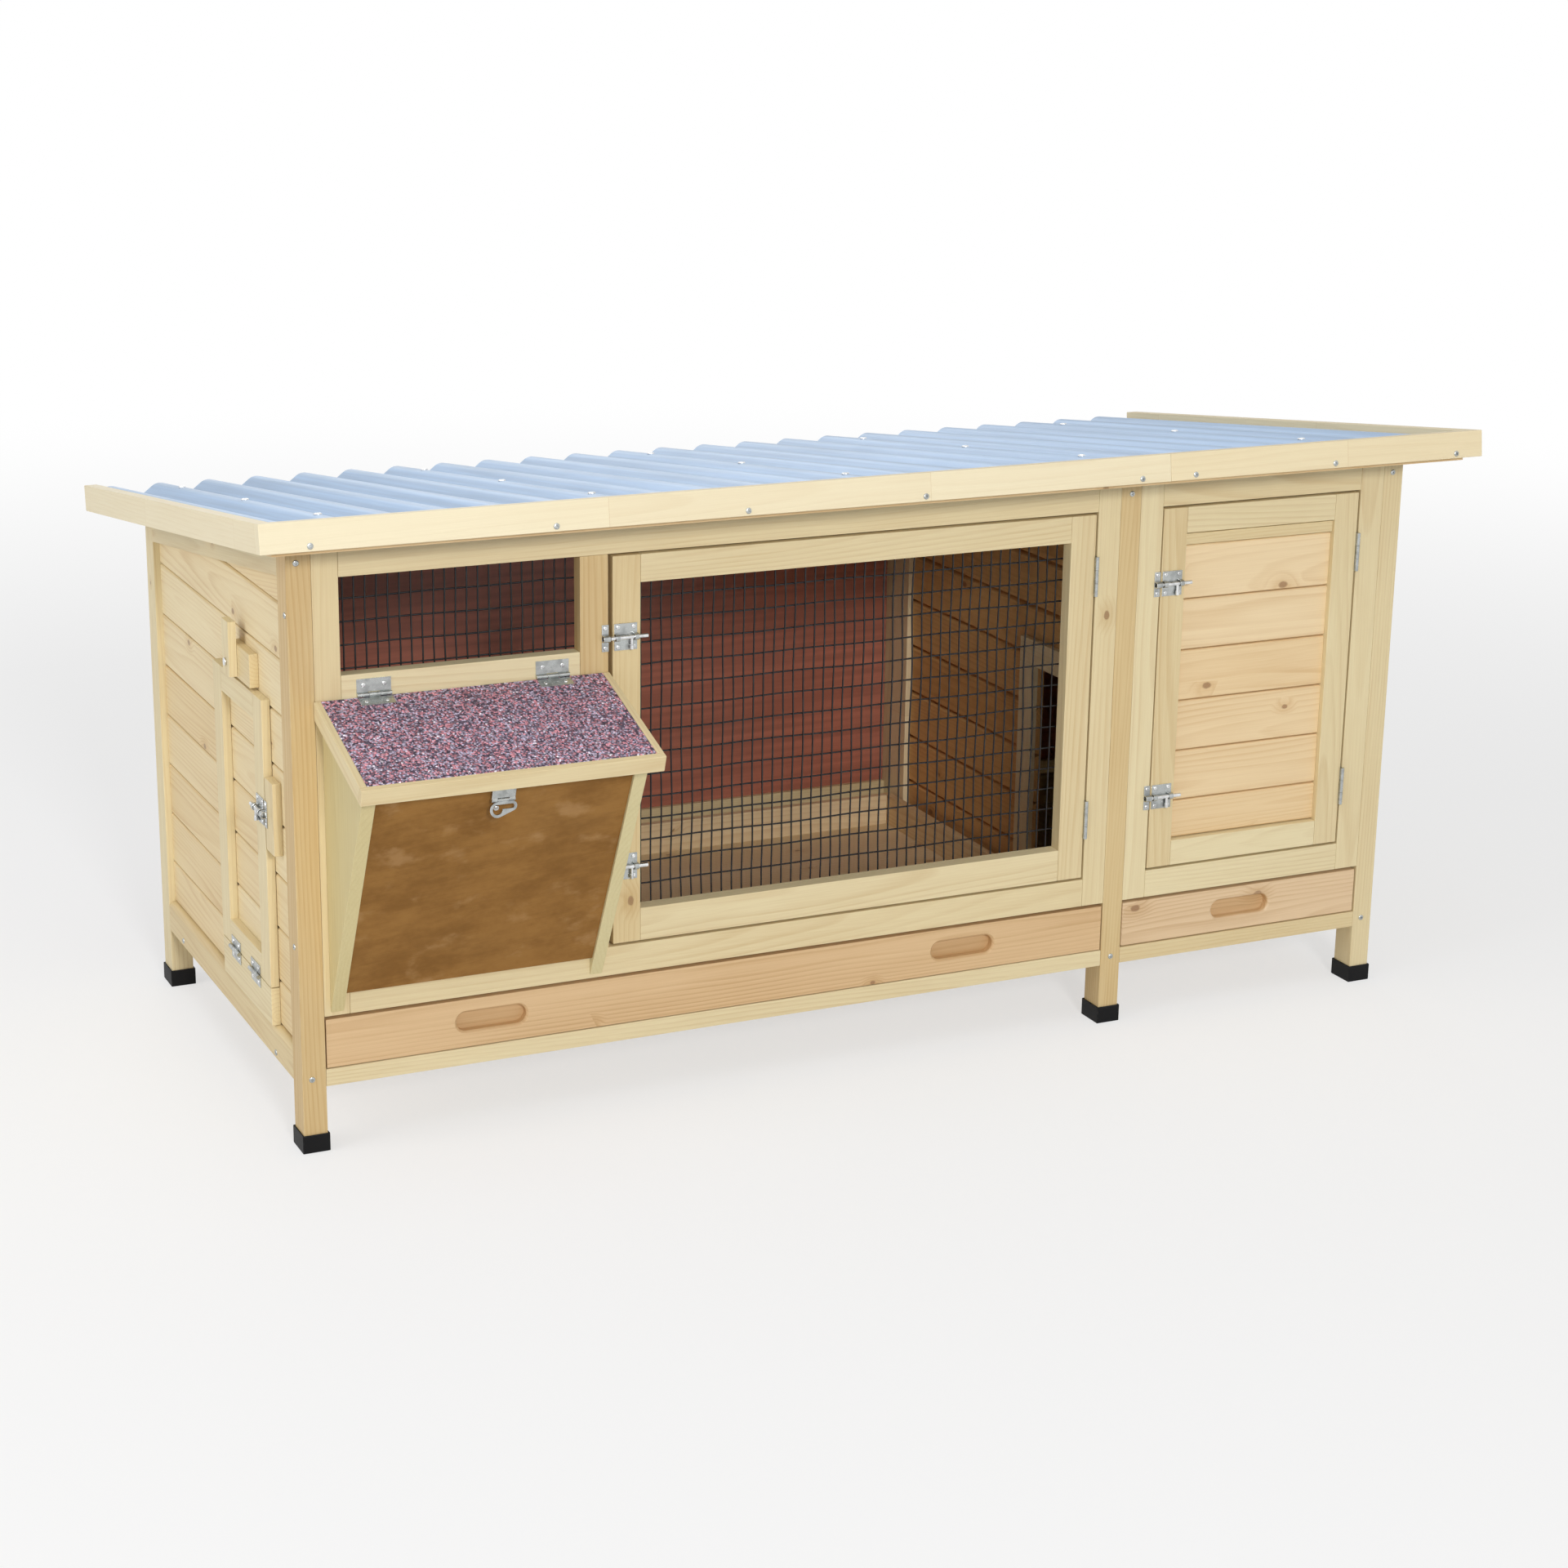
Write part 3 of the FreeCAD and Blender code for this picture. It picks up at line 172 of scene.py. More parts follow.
class HutchFittings(bpy.types.PropertyGroup):
    zinc: color_setting("Zinc plates", "Plating of plates and leaves", (0.50, 0.52, 0.51))
    bright_zinc: color_setting("Bright zinc", "Plating of rods, knobs and screws", (0.80, 0.81, 0.81))
    wire: color_setting("Wire coating", "Black coating of the wire", (0.005, 0.005, 0.006))
    plastic: color_setting("Foot caps", "Black moulded caps", (0.006, 0.006, 0.0065))
    metal_rounding: length_setting("Metal rounding", "Rounding of the fittings' edges", 0.00022)
    screw_radius: length_setting("Screw head", "Radius of a wood screw's head", 0.0034)
    small_screw_radius: length_setting("Small screw head", "Radius of a fitting's screw head", 0.0024)
    sheet_screw_radius: length_setting("Sheet screw head", "Radius of a roof screw's head", 0.0045)
    wire_radius: length_setting("Wire radius", "Radius of the coated wire", 0.001)
    wire_wander: length_setting("Wire wander", "How far a wire strays from its line", 0.0011)


class HutchRoof(bpy.types.PropertyGroup):
    sheet: color_setting("Roof sheet", "Blue-grey corrugated sheet", (0.37, 0.53, 0.75))
    felt_red: color_setting("Felt red", "Reddish grains of the felt", (0.46, 0.20, 0.24))
    felt_grey: color_setting("Felt grey", "Greyish grains of the felt", (0.35, 0.31, 0.41))
    felt_pale: color_setting("Felt pale", "Few pale grains of the felt", (0.60, 0.55, 0.62))
    felt_dark: color_setting("Felt base", "Dark bitumen between the grains", (0.075, 0.055, 0.085))
    grain_size: length_setting("Felt grain", "Size of one mineral grain", 0.0021)
    sheet_thickness: length_setting("Sheet thickness", "Thickness of the corrugated sheet", 0.0012)
    wave_count: IntProperty(name="Waves", description="Waves across the sheet", default=24, min=2)
    wave_lean: FloatProperty(name="Wave flank", description="Lean of the straight flank of a wave",
                             default=math.radians(37.0), subtype="ANGLE")
    wave_bends: IntProperty(name="Wave bends", description="Facets along one crest", default=12, min=2)
    screw_waves: IntProperty(name="Screw spacing", description="Waves from one roof screw to the next",
                             default=5, min=1)


class HutchStage(bpy.types.PropertyGroup):
    floor: color_setting("Floor", "Plain pale floor", (0.90, 0.90, 0.90))
    floor_size: length_setting("Floor size", "Side of the floor", 80.0)
    camera: place_setting("Camera", "Place of the camera", (-1.55918, -3.27034, 1.35293))
    aim: place_setting("Aim", "Point in the middle of the picture", (-0.07576, -0.15746, 0.31879))
    roll: FloatProperty(name="Roll", description="Turn of the camera about its line of sight",
                        default=math.radians(0.84714), subtype="ANGLE")
    lens: FloatProperty(name="Lens", description="Focal length on a 36 mm sensor", default=70.337,
                        unit="CAMERA")
    white: FloatProperty(name="White floor", description="Share of plain white in the floor near the hutch",
                         default=0.6, min=0.0, max=1.0, subtype="FACTOR")
    white_near: length_setting("White from", "Distance at which the floor begins to turn plain white", 1.2)
    white_far: length_setting("White at", "Distance at which the floor is plain white", 4.5)
    sky: FloatProperty(name="Sky", description="Strength of the even light from all round", default=0.31)
    lamp_aim: place_setting("Lamp aim", "Point that every lamp faces", (0.0, 0.0, 0.35))
    key_power: power_setting("Key", "Power of the lamp in front", 187.0)
    key_size: length_setting("Key size", "Side of the lamp in front", 1.0)
    key_place: place_setting("Key place", "Place of the lamp in front", (-1.2, -6.2, 2.75))
    top_power: power_setting("Top", "Power of the lamp overhead", 32.0)
    top_size: length_setting("Top size", "Side of the lamp overhead", 3.0)
    top_place: place_setting("Top place", "Place of the lamp overhead", (-0.6, -1.2, 4.2))
    left_power: power_setting("Left", "Power of the lamp at the left", 58.0)
    left_size: length_setting("Left size", "Side of the lamp at the left", 2.5)
    left_place: place_setting("Left place", "Place of the lamp at the left", (-4.2, -0.6, 2.2))
    back_power: power_setting("Back", "Power of the lamp behind", 24.0)
    back_size: length_setting("Back size", "Side of the lamp behind", 2.2)
    back_place: place_setting("Back place", "Place of the lamp behind", (0.8, 5.0, 2.6))


SETTINGS = (("hutch_timber", HutchTimber), ("hutch_fittings", HutchFittings),
            ("hutch_roof", HutchRoof), ("hutch_stage", HutchStage))


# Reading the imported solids
def closed_solids(node):
    """The separate solids of a node, each as its corner points and triangles."""
    mesh = frame["nodes"][node].data
    mesh.calc_loop_triangles()
    found = []
    points, index, triangles, open_edges = [], {}, [], set()
    for triangle in mesh.loop_triangles:
        corners = []
        for number in triangle.vertices:
            place = mesh.vertices[number].co
            key = tuple(round(c * POINT_STEPS) for c in place)
            if key not in index:
                index[key] = len(points)
                points.append(place.copy())
            corners.append(index[key])
        if len(set(corners)) == 3:
            triangles.append(corners)
            for edge in zip(corners, corners[1:] + corners[:1]):
                if edge[::-1] in open_edges:
                    open_edges.remove(edge[::-1])
                else:
                    open_edges.add(edge)
        if triangles and not open_edges:
            found.append((points, triangles))
            points, index, triangles = [], {}, []
    if triangles:
        raise RuntimeError(node + " is not made of closed solids")
    return found


def solid_mesh(points, triangles):
    """One solid with its flat faces whole again."""
    bm = bmesh.new()
    verts = [bm.verts.new(point) for point in points]
    for corners in triangles:
        bm.faces.new([verts[c] for c in corners])
    bmesh.ops.recalc_face_normals(bm, faces=bm.faces)
    bmesh.ops.dissolve_limit(bm, angle_limit=FLAT_ANGLE, verts=bm.verts, edges=bm.edges)
    return bm


def reach(points, axis):
    """How far points go along a direction: the least and the most."""
    along = [point.dot(axis) for point in points]
    return min(along), max(along)


def long_axes(bm):
    """Directions along, across and through a piece, from its longest edges."""
    edges = [edge.verts[1].co - edge.verts[0].co for edge in bm.edges]
    along = max(edges, key=lambda line: line.length).normalized()
    sideways = [line - along * line.dot(along) for line in edges]
    across = max(sideways, key=lambda line: line.length).normalized()
    along, across = [axis if max(axis, key=abs) > 0 else -axis for axis in (along, across)]
    return along, across, along.cross(across)


def round_edges(bm, rounding, angle, segments):
    """Round every edge that is sharper than an angle; gives the rounded faces."""
    sharp = [edge for edge in bm.edges if edge.calc_face_angle(0.0) > angle]
    made = bmesh.ops.bevel(bm, geom=sharp, offset=rounding, offset_type="OFFSET", segments=segments,
                           profile=0.5, affect="EDGES", clamp_overlap=True)
    return made["faces"]


def ring(bm, middle, first, second, radius, sides):
    """A ring of points about a place, in the plane of two directions."""
    turns = [2.0 * math.pi * side / sides for side in range(sides)]
    return [bm.verts.new(middle + (first * math.cos(turn) + second * math.sin(turn)) * radius)
            for turn in turns]


def join_rings(bm, rings):
    """Faces from each ring to the next."""
    for here, there in zip(rings, rings[1:]):
        for a in range(len(here)):
            b = (a + 1) % len(here)
            bm.faces.new((here[a], here[b], there[b], there[a]))


class Shell:
    """Points and faces of one piece while it is put together, with its grain, tones, painted shade in its
    recesses and worn edges.
    """

    def __init__(self):
        self.points = []
        self.faces = []
        self.grain = []
        self.tone = []
        self.worn = []

    def take(self, bm, grain=None, tone=0.5, worn=(), deep=(), recess_shade_tone=0.5):
        """Add a mesh; grain turns its points into places in the log, worn holds its rounded faces,
        and deep holds the points that take a darker tone as painted shade."""
        start = len(self.points)
        bm.verts.index_update()
        worn = set(worn)
        for vert in bm.verts:
            self.points.append(vert.co.copy())
            self.grain.append(grain @ vert.co if grain else vert.co.copy())
            self.tone.append(recess_shade_tone if vert in deep else tone)
        for face in bm.faces:
            self.faces.append([start + vert.index for vert in face.verts])
            self.worn.append(1.0 if face in worn else 0.0)
        bm.free()

    def piece(self, name, material, node, slot_node=None, replace=False):
        """Make the object: it rides with a node and may stand for it; slot_node is not used."""
        mesh = bpy.data.meshes.new(name)
        mesh.from_pydata(self.points, [], self.faces)
        layer = mesh.attributes.new("grain_at", "FLOAT_VECTOR", "POINT")
        layer.data.foreach_set("vector", [c for place in self.grain for c in place])
        mesh.attributes.new("board_tone", "FLOAT", "POINT").data.foreach_set("value", self.tone)
        mesh.attributes.new("edge_wear", "FLOAT", "FACE").data.foreach_set("value", self.worn)
        mesh.polygons.foreach_set("use_smooth", [True] * len(self.faces))
        mesh.set_sharp_from_angle(angle=SHARP_ANGLE)
        mesh.materials.append(material)
        made = bpy.data.objects.new(name, mesh)
        bpy.context.scene.collection.objects.link(made)
        made.modifiers.new("even_shading", "WEIGHTED_NORMAL").keep_sharp = True
        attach(made, BODY_OF[node])
        if replace:
            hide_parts(node)


def log_place(bm, points, rng):
    """Where a sawn piece lay in its log: along the pith, and away from it."""
    along, across, through = long_axes(bm)
    middle = sum(points, Vector()) / len(points)
    turn = Matrix((along, across, through)).to_4x4() @ Matrix.Translation(-middle)
    lean = Matrix.Identity(4)
    lean[1][0] = rng.uniform(-LEAN_ACROSS, LEAN_ACROSS)
    lean[2][0] = rng.uniform(-LEAN_THROUGH, LEAN_THROUGH)
    depth = rng.choice((-1.0, 1.0)) * rng.uniform(*LOG_DEPTHS)
    shift = Vector((rng.uniform(0.0, LOG_LENGTH), rng.uniform(-LOG_ASIDE, LOG_ASIDE), depth))
    return Matrix.Translation(shift) @ lean @ turn


def open_joints(bm, outward, joint):
    """Draw in the long edges of a board's outer face, so that its joints are real grooves."""
    inner = min(vert.co.dot(outward) for vert in bm.verts)
    bm.normal_update()
    shifts = []
    for vert in bm.verts:
        if vert.co.dot(outward) - inner > joint:
            facing = [face.normal.dot(UP) for face in vert.link_faces]
            if min(facing) < -FACES_UP:
                shifts.append((vert, UP * joint))
            elif max(facing) > FACES_UP:
                shifts.append((vert, UP * -joint))
    for vert, shift in shifts:
        vert.co += shift


def plane_top(bm, trim):
    """Plane a piece's level top edge down."""
    top = max(vert.co.z for vert in bm.verts)
    level = trim / 10.0
    for vert in bm.verts:
        if top - vert.co.z < level:
            vert.co.z -= trim


def recessed(bm, rounding):
    """The points of a front that lie in its finger recesses, away from its rounded outer edges."""
    front, rear = reach([vert.co for vert in bm.verts], BACK)
    edge = 1.1 * rounding
    return {vert for vert in bm.verts if front + edge < vert.co.y < rear - edge}


def dress_wood(node, material, rounding, finish, outward=None, joint=0.0, trim=0.0, recess_tone=0.0):
    """Stand rounded, grained timber in the place of a wooden node."""
    shell = Shell()
    tones = BOARD_TONES.get(node, ())
    for number, (points, triangles) in enumerate(closed_solids(node)):
        rng = random.Random(zlib.crc32((node + str(number)).encode()))
        bm = solid_mesh(points, triangles)
        grain = log_place(bm, points, rng)
        if joint:
            open_joints(bm, outward, joint)
        if trim:
            plane_top(bm, trim)
        worn = round_edges(bm, rounding, WOOD_EDGE_ANGLE, 2)
        own_tone = rng.uniform(*OTHER_TONES)
        tone = tones[number] if number < len(tones) else own_tone
        # Points in a finger recess take a darker tone: painted shade
        shell.take(bm, grain, tone, worn, recessed(bm, rounding) if recess_tone else (), tone + recess_tone)
    shell.piece(node + "_" + finish, material, node, replace=True)


def dress_metal(node, material, rounding, finish="zinc"):
    """Stand a fitting with softened edges in the place of its node."""
    shell = Shell()
    for points, triangles in closed_solids(node):
        bm = solid_mesh(points, triangles)
        shell.take(bm, worn=round_edges(bm, rounding, SHARP_ANGLE, 1))
    shell.piece(node + "_" + finish, material, node, replace=True)


# Node trees
class Field:
    """A value, vector or colour that changes over a surface and can be reckoned with."""

    def __init__(self, wiring, socket):
        self.wiring = wiring
        self.socket = socket

    def reckon(self, operation, *others):
        if self.socket.type == "VECTOR" or any(isinstance(other, tuple) for other in others):
            return self.wiring.vector(operation, self, *others)
        return self.wiring.math(operation, self, *others)

    def __add__(self, other):
        return self.reckon("ADD", other)

    def __sub__(self, other):
        return self.reckon("SUBTRACT", other)

    def __mul__(self, other):
        return self.reckon("MULTIPLY", other)

    def __truediv__(self, other):
        return self.reckon("DIVIDE", other)


class Wiring:
    """Lays nodes in a tree and joins them."""

    def __init__(self, tree):
        self.tree = tree

    def feed(self, socket, value):
        if isinstance(value, Field):
            self.tree.links.new(value.socket, socket)
        elif hasattr(value, "__len__") and len(value) == 3 and len(socket.default_value) == 4:
            socket.default_value = (*value, 1.0)
        else:
            socket.default_value = value

    def feed_all(self, node, values):
        for key, value in values.items():
            self.feed(node.inputs[key], value)

    def lay(self, kind, inputs=(), **settings):
        """A node with its settings made and its inputs fed, by name or by number."""
        made = self.tree.nodes.new(kind)
        for key, value in settings.items():
            setattr(made, key, value)
        self.feed_all(made, dict(inputs))
        return made

    def out(self, node, key=0):
        return Field(self, node.outputs[key])

    def math(self, operation, *values):
        return self.out(self.lay("ShaderNodeMath", enumerate(values), operation=operation))

    def vector(self, operation, *values):
        made = self.lay("ShaderNodeVectorMath", enumerate(values), operation=operation)
        return self.out(made, "Value" if operation == "LENGTH" else "Vector")

    def scaled(self, vector, share):
        made = self.lay("ShaderNodeVectorMath", {0: vector, "Scale": share}, operation="SCALE")
        return self.out(made, "Vector")

    def parts(self, vector):
        made = self.lay("ShaderNodeSeparateXYZ", {0: vector})
        return [self.out(made, axis) for axis in range(3)]

    def noise(self, at, scale, detail=2.0):
        return self.out(self.lay("ShaderNodeTexNoise", {"Vector": at, "Scale": scale, "Detail": detail}))

    def cells(self, at, scale):
        made = self.lay("ShaderNodeTexVoronoi", {"Vector": at, "Scale": scale})
        return {key: self.out(made, key) for key in ("Distance", "Color", "Position")}

    def blend(self, share, first, second, way="MIX"):
        made = self.lay("ShaderNodeMix", {0: share, 6: first, 7: second}, data_type="RGBA", blend_type=way)
        return self.out(made, 2)

    def span(self, value, low, high, to_low=0.0, to_high=1.0, smooth=True):
        """Carry a value from one range to another."""
        return self.out(self.lay("ShaderNodeMapRange", enumerate((value, low, high, to_low, to_high)),
                                 interpolation_type="SMOOTHSTEP" if smooth else "LINEAR"))

    def ramp(self, value, stops):
        """Carry a value over a row of stops, each a place and its level."""
        made = self.lay("ShaderNodeValToRGB", {0: value})
        slots = made.color_ramp.elements
        while len(slots) < len(stops):
            slots.new(0.5)
        for slot, (place, level) in zip(slots, stops):
            slot.position = place
            slot.color = (level, level, level, 1.0)
        return self.out(made)

    def attribute(self, name, output):
        return self.out(self.lay("ShaderNodeAttribute", attribute_name=name), output)

    def place(self):
        """Places in the shared frame at rest."""
        return self.out(self.lay("ShaderNodeTexCoord"), "Object")

    def seen(self):
        """One where a ray comes from the camera, off a gloss or through glass."""
        rays = self.lay("ShaderNodeLightPath")
        camera, glossy, through = [self.out(rays, "Is " + kind + " Ray")
                                   for kind in ("Camera", "Glossy", "Transmission")]
        return camera.reckon("MAXIMUM", glossy.reckon("MAXIMUM", through))

    def group(self, tree, **values):
        made = self.lay("ShaderNodeGroup", node_tree=tree)
        self.feed_all(made, {key.replace("_", " ").title(): value for key, value in values.items()})
        return {socket.name: Field(self, socket) for socket in made.outputs}

    def surface(self, color, roughness, height, depth, strength, constants=()):
        """Feed the material's shader, with a relief of a depth, and set what is the same all over."""
        bump = self.lay("ShaderNodeBump", {"Height": height, "Distance": depth, "Strength": strength})
        shader = self.tree.nodes["Principled BSDF"]
        self.feed_all(shader, {"Base Color": color, "Roughness": roughness, "Normal": self.out(bump)})
        self.feed_all(shader, dict(constants))


def new_group(name, inputs, outputs):
    """A shader node group with named sockets: its tree, wiring, inputs by name and output node."""
    tree = bpy.data.node_groups.new(name, "ShaderNodeTree")
    for key, value in inputs.items():
        kind = "NodeSocketFloat" if isinstance(value, float) else "NodeSocketColor"
        tree.interface.new_socket(name=key, in_out="INPUT", socket_type=kind).default_value = value
    for key, kind in outputs.items():
        tree.interface.new_socket(name=key, in_out="OUTPUT", socket_type="NodeSocket" + kind)
    wiring = Wiring(tree)
    entry = wiring.lay("NodeGroupInput")
    return tree, wiring, {key: wiring.out(entry, key) for key in inputs}, wiring.lay("NodeGroupOutput")


@functools.lru_cache(maxsize=None)
def timber_group():
    """Growth rings, fibres and knots of sawn softwood, read from each board's place in its log."""
    grey = (0.5, 0.5, 0.5, 1.0)
    tree, w, taken, given = new_group(
        "hutch_timber",
        {"Pale": grey, "Dark": grey, "Knot": grey, "Ring Pitch": 0.004, "Ring Strength": 0.5,
         "Knot Share": 0.2, "Tone Spread": 0.3, "Roughness": 0.55, "Stave Length": NO_STAVES},
        {"Color": "Color", "Roughness": "Float", "Height": "Float"})
    sawn_at = w.attribute("grain_at", "Vector")
    # The tone attribute also carries the painted shade of the finger recesses
    tone = w.attribute("board_tone", "Fac")
    worn = w.attribute("edge_wear", "Fac")

    # Staves: short lengths glued end to end, each from another log
    stave = w.parts(sawn_at)[0] / taken["Stave Length"]
    draw = w.lay("ShaderNodeTexWhiteNoise", {"W": stave.reckon("FLOOR")}, noise_dimensions="1D")
    other_log = (0.0, 0.03, 0.03)
    at = sawn_at + w.out(draw, "Color") * other_log
    joint_line = w.span(stave.reckon("FRACT") * taken["Stave Length"], 0.0009, 0.0004)

    # Knots: few of the cells hold one, and it runs through the board
    cell_size = (0.17, 0.06, 0.3)
    knot_stretch = (0.11, 0.06, 0.0)
    least_radius, most_radius = 0.0018, 0.0055
    cell_at = at / cell_size
    cell = w.cells(cell_at, 1.0)
    chance = w.parts(cell["Color"])
    away = (cell_at - cell["Position"]) * knot_stretch
    from_knot = away.reckon("LENGTH") + w.noise(at, 260.0, 1.0) * 0.0012
    radius = w.span(chance[1], 0.0, 1.0, least_radius, most_radius, False)
    chosen = chance[0].reckon("LESS_THAN", taken["Knot Share"])
    knot = chosen * w.span(from_knot, radius * 1.2, radius * 0.75)
    halo = chosen * w.span(from_knot, radius * 4.5, radius)

    # Rings about the pith, pushed aside by knots
    off_pith = (at * (0.0, 1.0, 1.0)).reckon("LENGTH")
    wobble = (w.noise(at * (1.6, 12.0, 12.0), 1.0) - 0.5) * 0.022
    pushed = off_pith + wobble + halo * 0.006
    late_wood = ((0.0, 0.05), (0.5, 0.22), (0.84, 0.95), (0.93, 0.75), (1.0, 0.05))
    late = w.ramp((pushed / taken["Ring Pitch"]).reckon("FRACT"), late_wood)
    fibre = w.noise(at * (9.0, 650.0, 650.0), 1.0, 3.0)
    cloud = w.noise(at * (3.0, 16.0, 16.0), 1.0)

    # Shade from pale to dark
    shade = late * (taken["Ring Strength"] * w.span(cloud, 0.3, 0.7, 0.35, 1.0))
    shade += (fibre - 0.5) * 0.55
    shade += (tone - 0.45) * taken["Tone Spread"]
    shade += (cloud - 0.5) * 0.45
    shade += halo * 0.4
    shade += (w.out(draw, "Value") - 0.5) * 0.3
    shade += joint_line * 0.8
    wood = w.blend(w.span(shade, -0.2, 1.0, 0.0, 1.0, False), taken["Pale"], taken["Dark"])
    warm_glaze = (1.0, 0.93, 0.78)
    wood = w.blend(w.span(tone, 0.3, 1.0, 0.0, 0.6), wood, warm_glaze, "MULTIPLY")
    heart = w.blend((from_knot * 900.0).reckon("FRACT") * 0.55, taken["Knot"], taken["Dark"])
    wood = w.blend(knot * 0.82, wood, heart)

    # Rounded edges have lost some of their glaze
    rub = worn * w.span(w.noise(at, 45.0, 3.0), 0.35, 0.75)
    w.feed_all(given, {"Color": w.blend(rub * 0.3, wood, taken["Pale"]),
                       "Roughness": taken["Roughness"] + (fibre - 0.5) * 0.22 + rub * 0.12 - knot * 0.12,
                       "Height": late * 0.4 + fibre * 0.7})
    return tree


@functools.lru_cache(maxsize=None)
def marks_group():
    """Faint handling marks and dust over a finish."""
    tree, w, taken, given = new_group(
        "hutch_marks",
        {"Finish": (0.5, 0.5, 0.5, 1.0), "Dust": (0.6, 0.58, 0.54, 1.0), "Amount": 0.2, "Roughness": 0.4,
         "Scale": 12.0},
        {"Color": "Color", "Roughness": "Float"})
    at = w.place()
    patches = w.span(w.noise(at, taken["Scale"], 4.0), 0.45, 0.8)
    specks = w.span(w.noise(at, taken["Scale"] * 40.0), 0.62, 0.8)
    cover = (patches + specks * 0.6) * taken["Amount"]
    w.feed_all(given, {"Color": w.blend(cover, taken["Finish"], taken["Dust"]),
                       "Roughness": taken["Roughness"] + cover * 0.6})
    return tree


# Materials
def new_material(name):
    """A material with its shader, and the wiring to dress it."""
    made = bpy.data.materials.new(name)
    made.use_nodes = True
    return made, Wiring(made.node_tree)


def shaded(color, share):
    """A paler or darker shade of a colour."""
    return [c * share for c in color]


def handled(w, finish, dust, amount, roughness, scale):
    """A finish with handling marks and dust: its colour and its roughness."""
    done = w.group(marks_group(), finish=finish, dust=dust, amount=amount, roughness=roughness, scale=scale)
    return done["Color"], done["Roughness"]


@functools.lru_cache(maxsize=None)
def wood(kind):
    """Sawn softwood in one of the hutch's finishes; only the fascias are glued from staves."""
    s = bpy.context.scene.hutch_timber
    name, rings, knots, spread, rough = WOODS[kind]
    made, w = new_material(name)
    done = w.group(timber_group(), pale=getattr(s, kind + "_pale"), dark=getattr(s, kind + "_dark"),
                   knot=s.knot, ring_pitch=s.ring_pitch, ring_strength=rings, knot_share=knots,
                   tone_spread=spread, roughness=rough,
                   stave_length=s.stave_length if kind == "fascia" else NO_STAVES)
    w.surface(done["Color"], done["Roughness"], done["Height"], 0.0004, 0.5)
    return made


def plywood():
    """Stained plywood with soft figure across the panel."""
    s = bpy.context.scene.hutch_timber
    made, w = new_material("stained_plywood")
    at = w.attribute("grain_at", "Vector")
    slanted = w.out(w.lay("ShaderNodeMapping", {"Vector": at, "Rotation": (0.0, 0.0, 0.12)}))
    figure = w.noise(slanted * (52.0, 20.0, 20.0), 1.0, 6.0)
    clouds = w.noise(at * (11.0, 7.5, 7.5), 1.0, 5.0)
    mottle = w.noise(at * (170.0, 120.0, 120.0), 1.0)
    fibre = w.noise(slanted * (700.0, 14.0, 700.0), 1.0)
    shade = figure * 0.35 + clouds * 0.5 + mottle * 0.15 + (fibre - 0.5) * 0.1
    base = w.blend(w.span(shade, 0.36, 0.64), s.plywood_dark, s.plywood)
    scuffs = w.noise(at * (36.0, 24.0, 24.0), 1.0, 9.0)
    base = w.blend(w.span(scuffs, 0.55, 0.74, 0.0, 0.5), base, (0.46, 0.27, 0.115))
    w.surface(*handled(w, base, (0.34, 0.22, 0.10), 0.08, 0.5, 9.0), fibre, 0.0003, 0.35,
              {"Specular IOR Level": 0.1})
    return made


def film_panel():
    """Red-brown film-faced panel with faint cross streaks, partly its own figure and partly painted shadow of
    the wires.
    """
    s = bpy.context.scene.hutch_timber
    made, w = new_material("film_faced_panel")
    at = w.place()
    # Cross streaks: partly the film's figure, partly painted shadow of the mesh's wires
    streaks_and_wire_shadow = w.noise(at * (4.0, 4.0, 120.0), 1.0, 4.0)
    weave = w.noise(at * (900.0, 900.0, 900.0), 1.0, 1.0)
    base = w.blend(w.span(streaks_and_wire_shadow, 0.3, 0.75), shaded(s.panel, 0.84), shaded(s.panel, 1.18))
    w.surface(*handled(w, base, (0.30, 0.17, 0.13), 0.16, 0.36, 7.0), weave, 0.0002, 0.25)
    return made


@functools.lru_cache(maxsize=None)
def plated(kind):
    """Zinc plating with faint rolling lines, dull spots and rubbed edges."""
    tint = getattr(bpy.context.scene.hutch_fittings, kind)
    made, w = new_material(kind + "_plating")
    at = w.place()
    lines = w.noise(at * (300.0, 300.0, 2600.0), 1.0)
    spots = w.noise(at, 110.0, 3.0)
    base = w.blend(w.span(spots, 0.4, 0.7), tint, shaded(tint, 0.72))
    base = w.blend(w.attribute("edge_wear", "Fac") * 0.8, base, (0.88, 0.89, 0.90))
    w.surface(base, lines * 0.12 + spots * 0.16 + 0.14, lines, 0.00006, 0.3, {"Metallic": 1.0})
    return made


@functools.lru_cache(maxsize=None)
def coated_wire():
    """Black coating on the welded wire, with small runs and dull patches."""
    s = bpy.context.scene.hutch_fittings
    made, w = new_material("coated_wire")
    lumps = w.noise(w.place(), 500.0)
    w.surface(*handled(w, s.wire, (0.09, 0.09, 0.09), 0.2, 0.36, 60.0), lumps, 0.0002, 0.5,
              {"Specular IOR Level": 0.4})
    return made


def moulded_plastic():
    """Black caps with a fine moulded texture and scuffed edges."""
    s = bpy.context.scene.hutch_fittings
    made, w = new_material("moulded_plastic")
    texture = w.cells(w.place(), 1400.0)["Distance"]
    scuff = w.attribute("edge_wear", "Fac") * w.span(w.noise(w.place(), 160.0, 3.0), 0.4, 0.7)
    finish = w.blend(scuff * 0.5, s.plastic, (0.05, 0.05, 0.05))
    w.surface(*handled(w, finish, (0.03, 0.029, 0.028), 0.12, 0.5, 30.0), texture, 0.0002, 0.3,
              {"Specular IOR Level": 0.15})
    return made


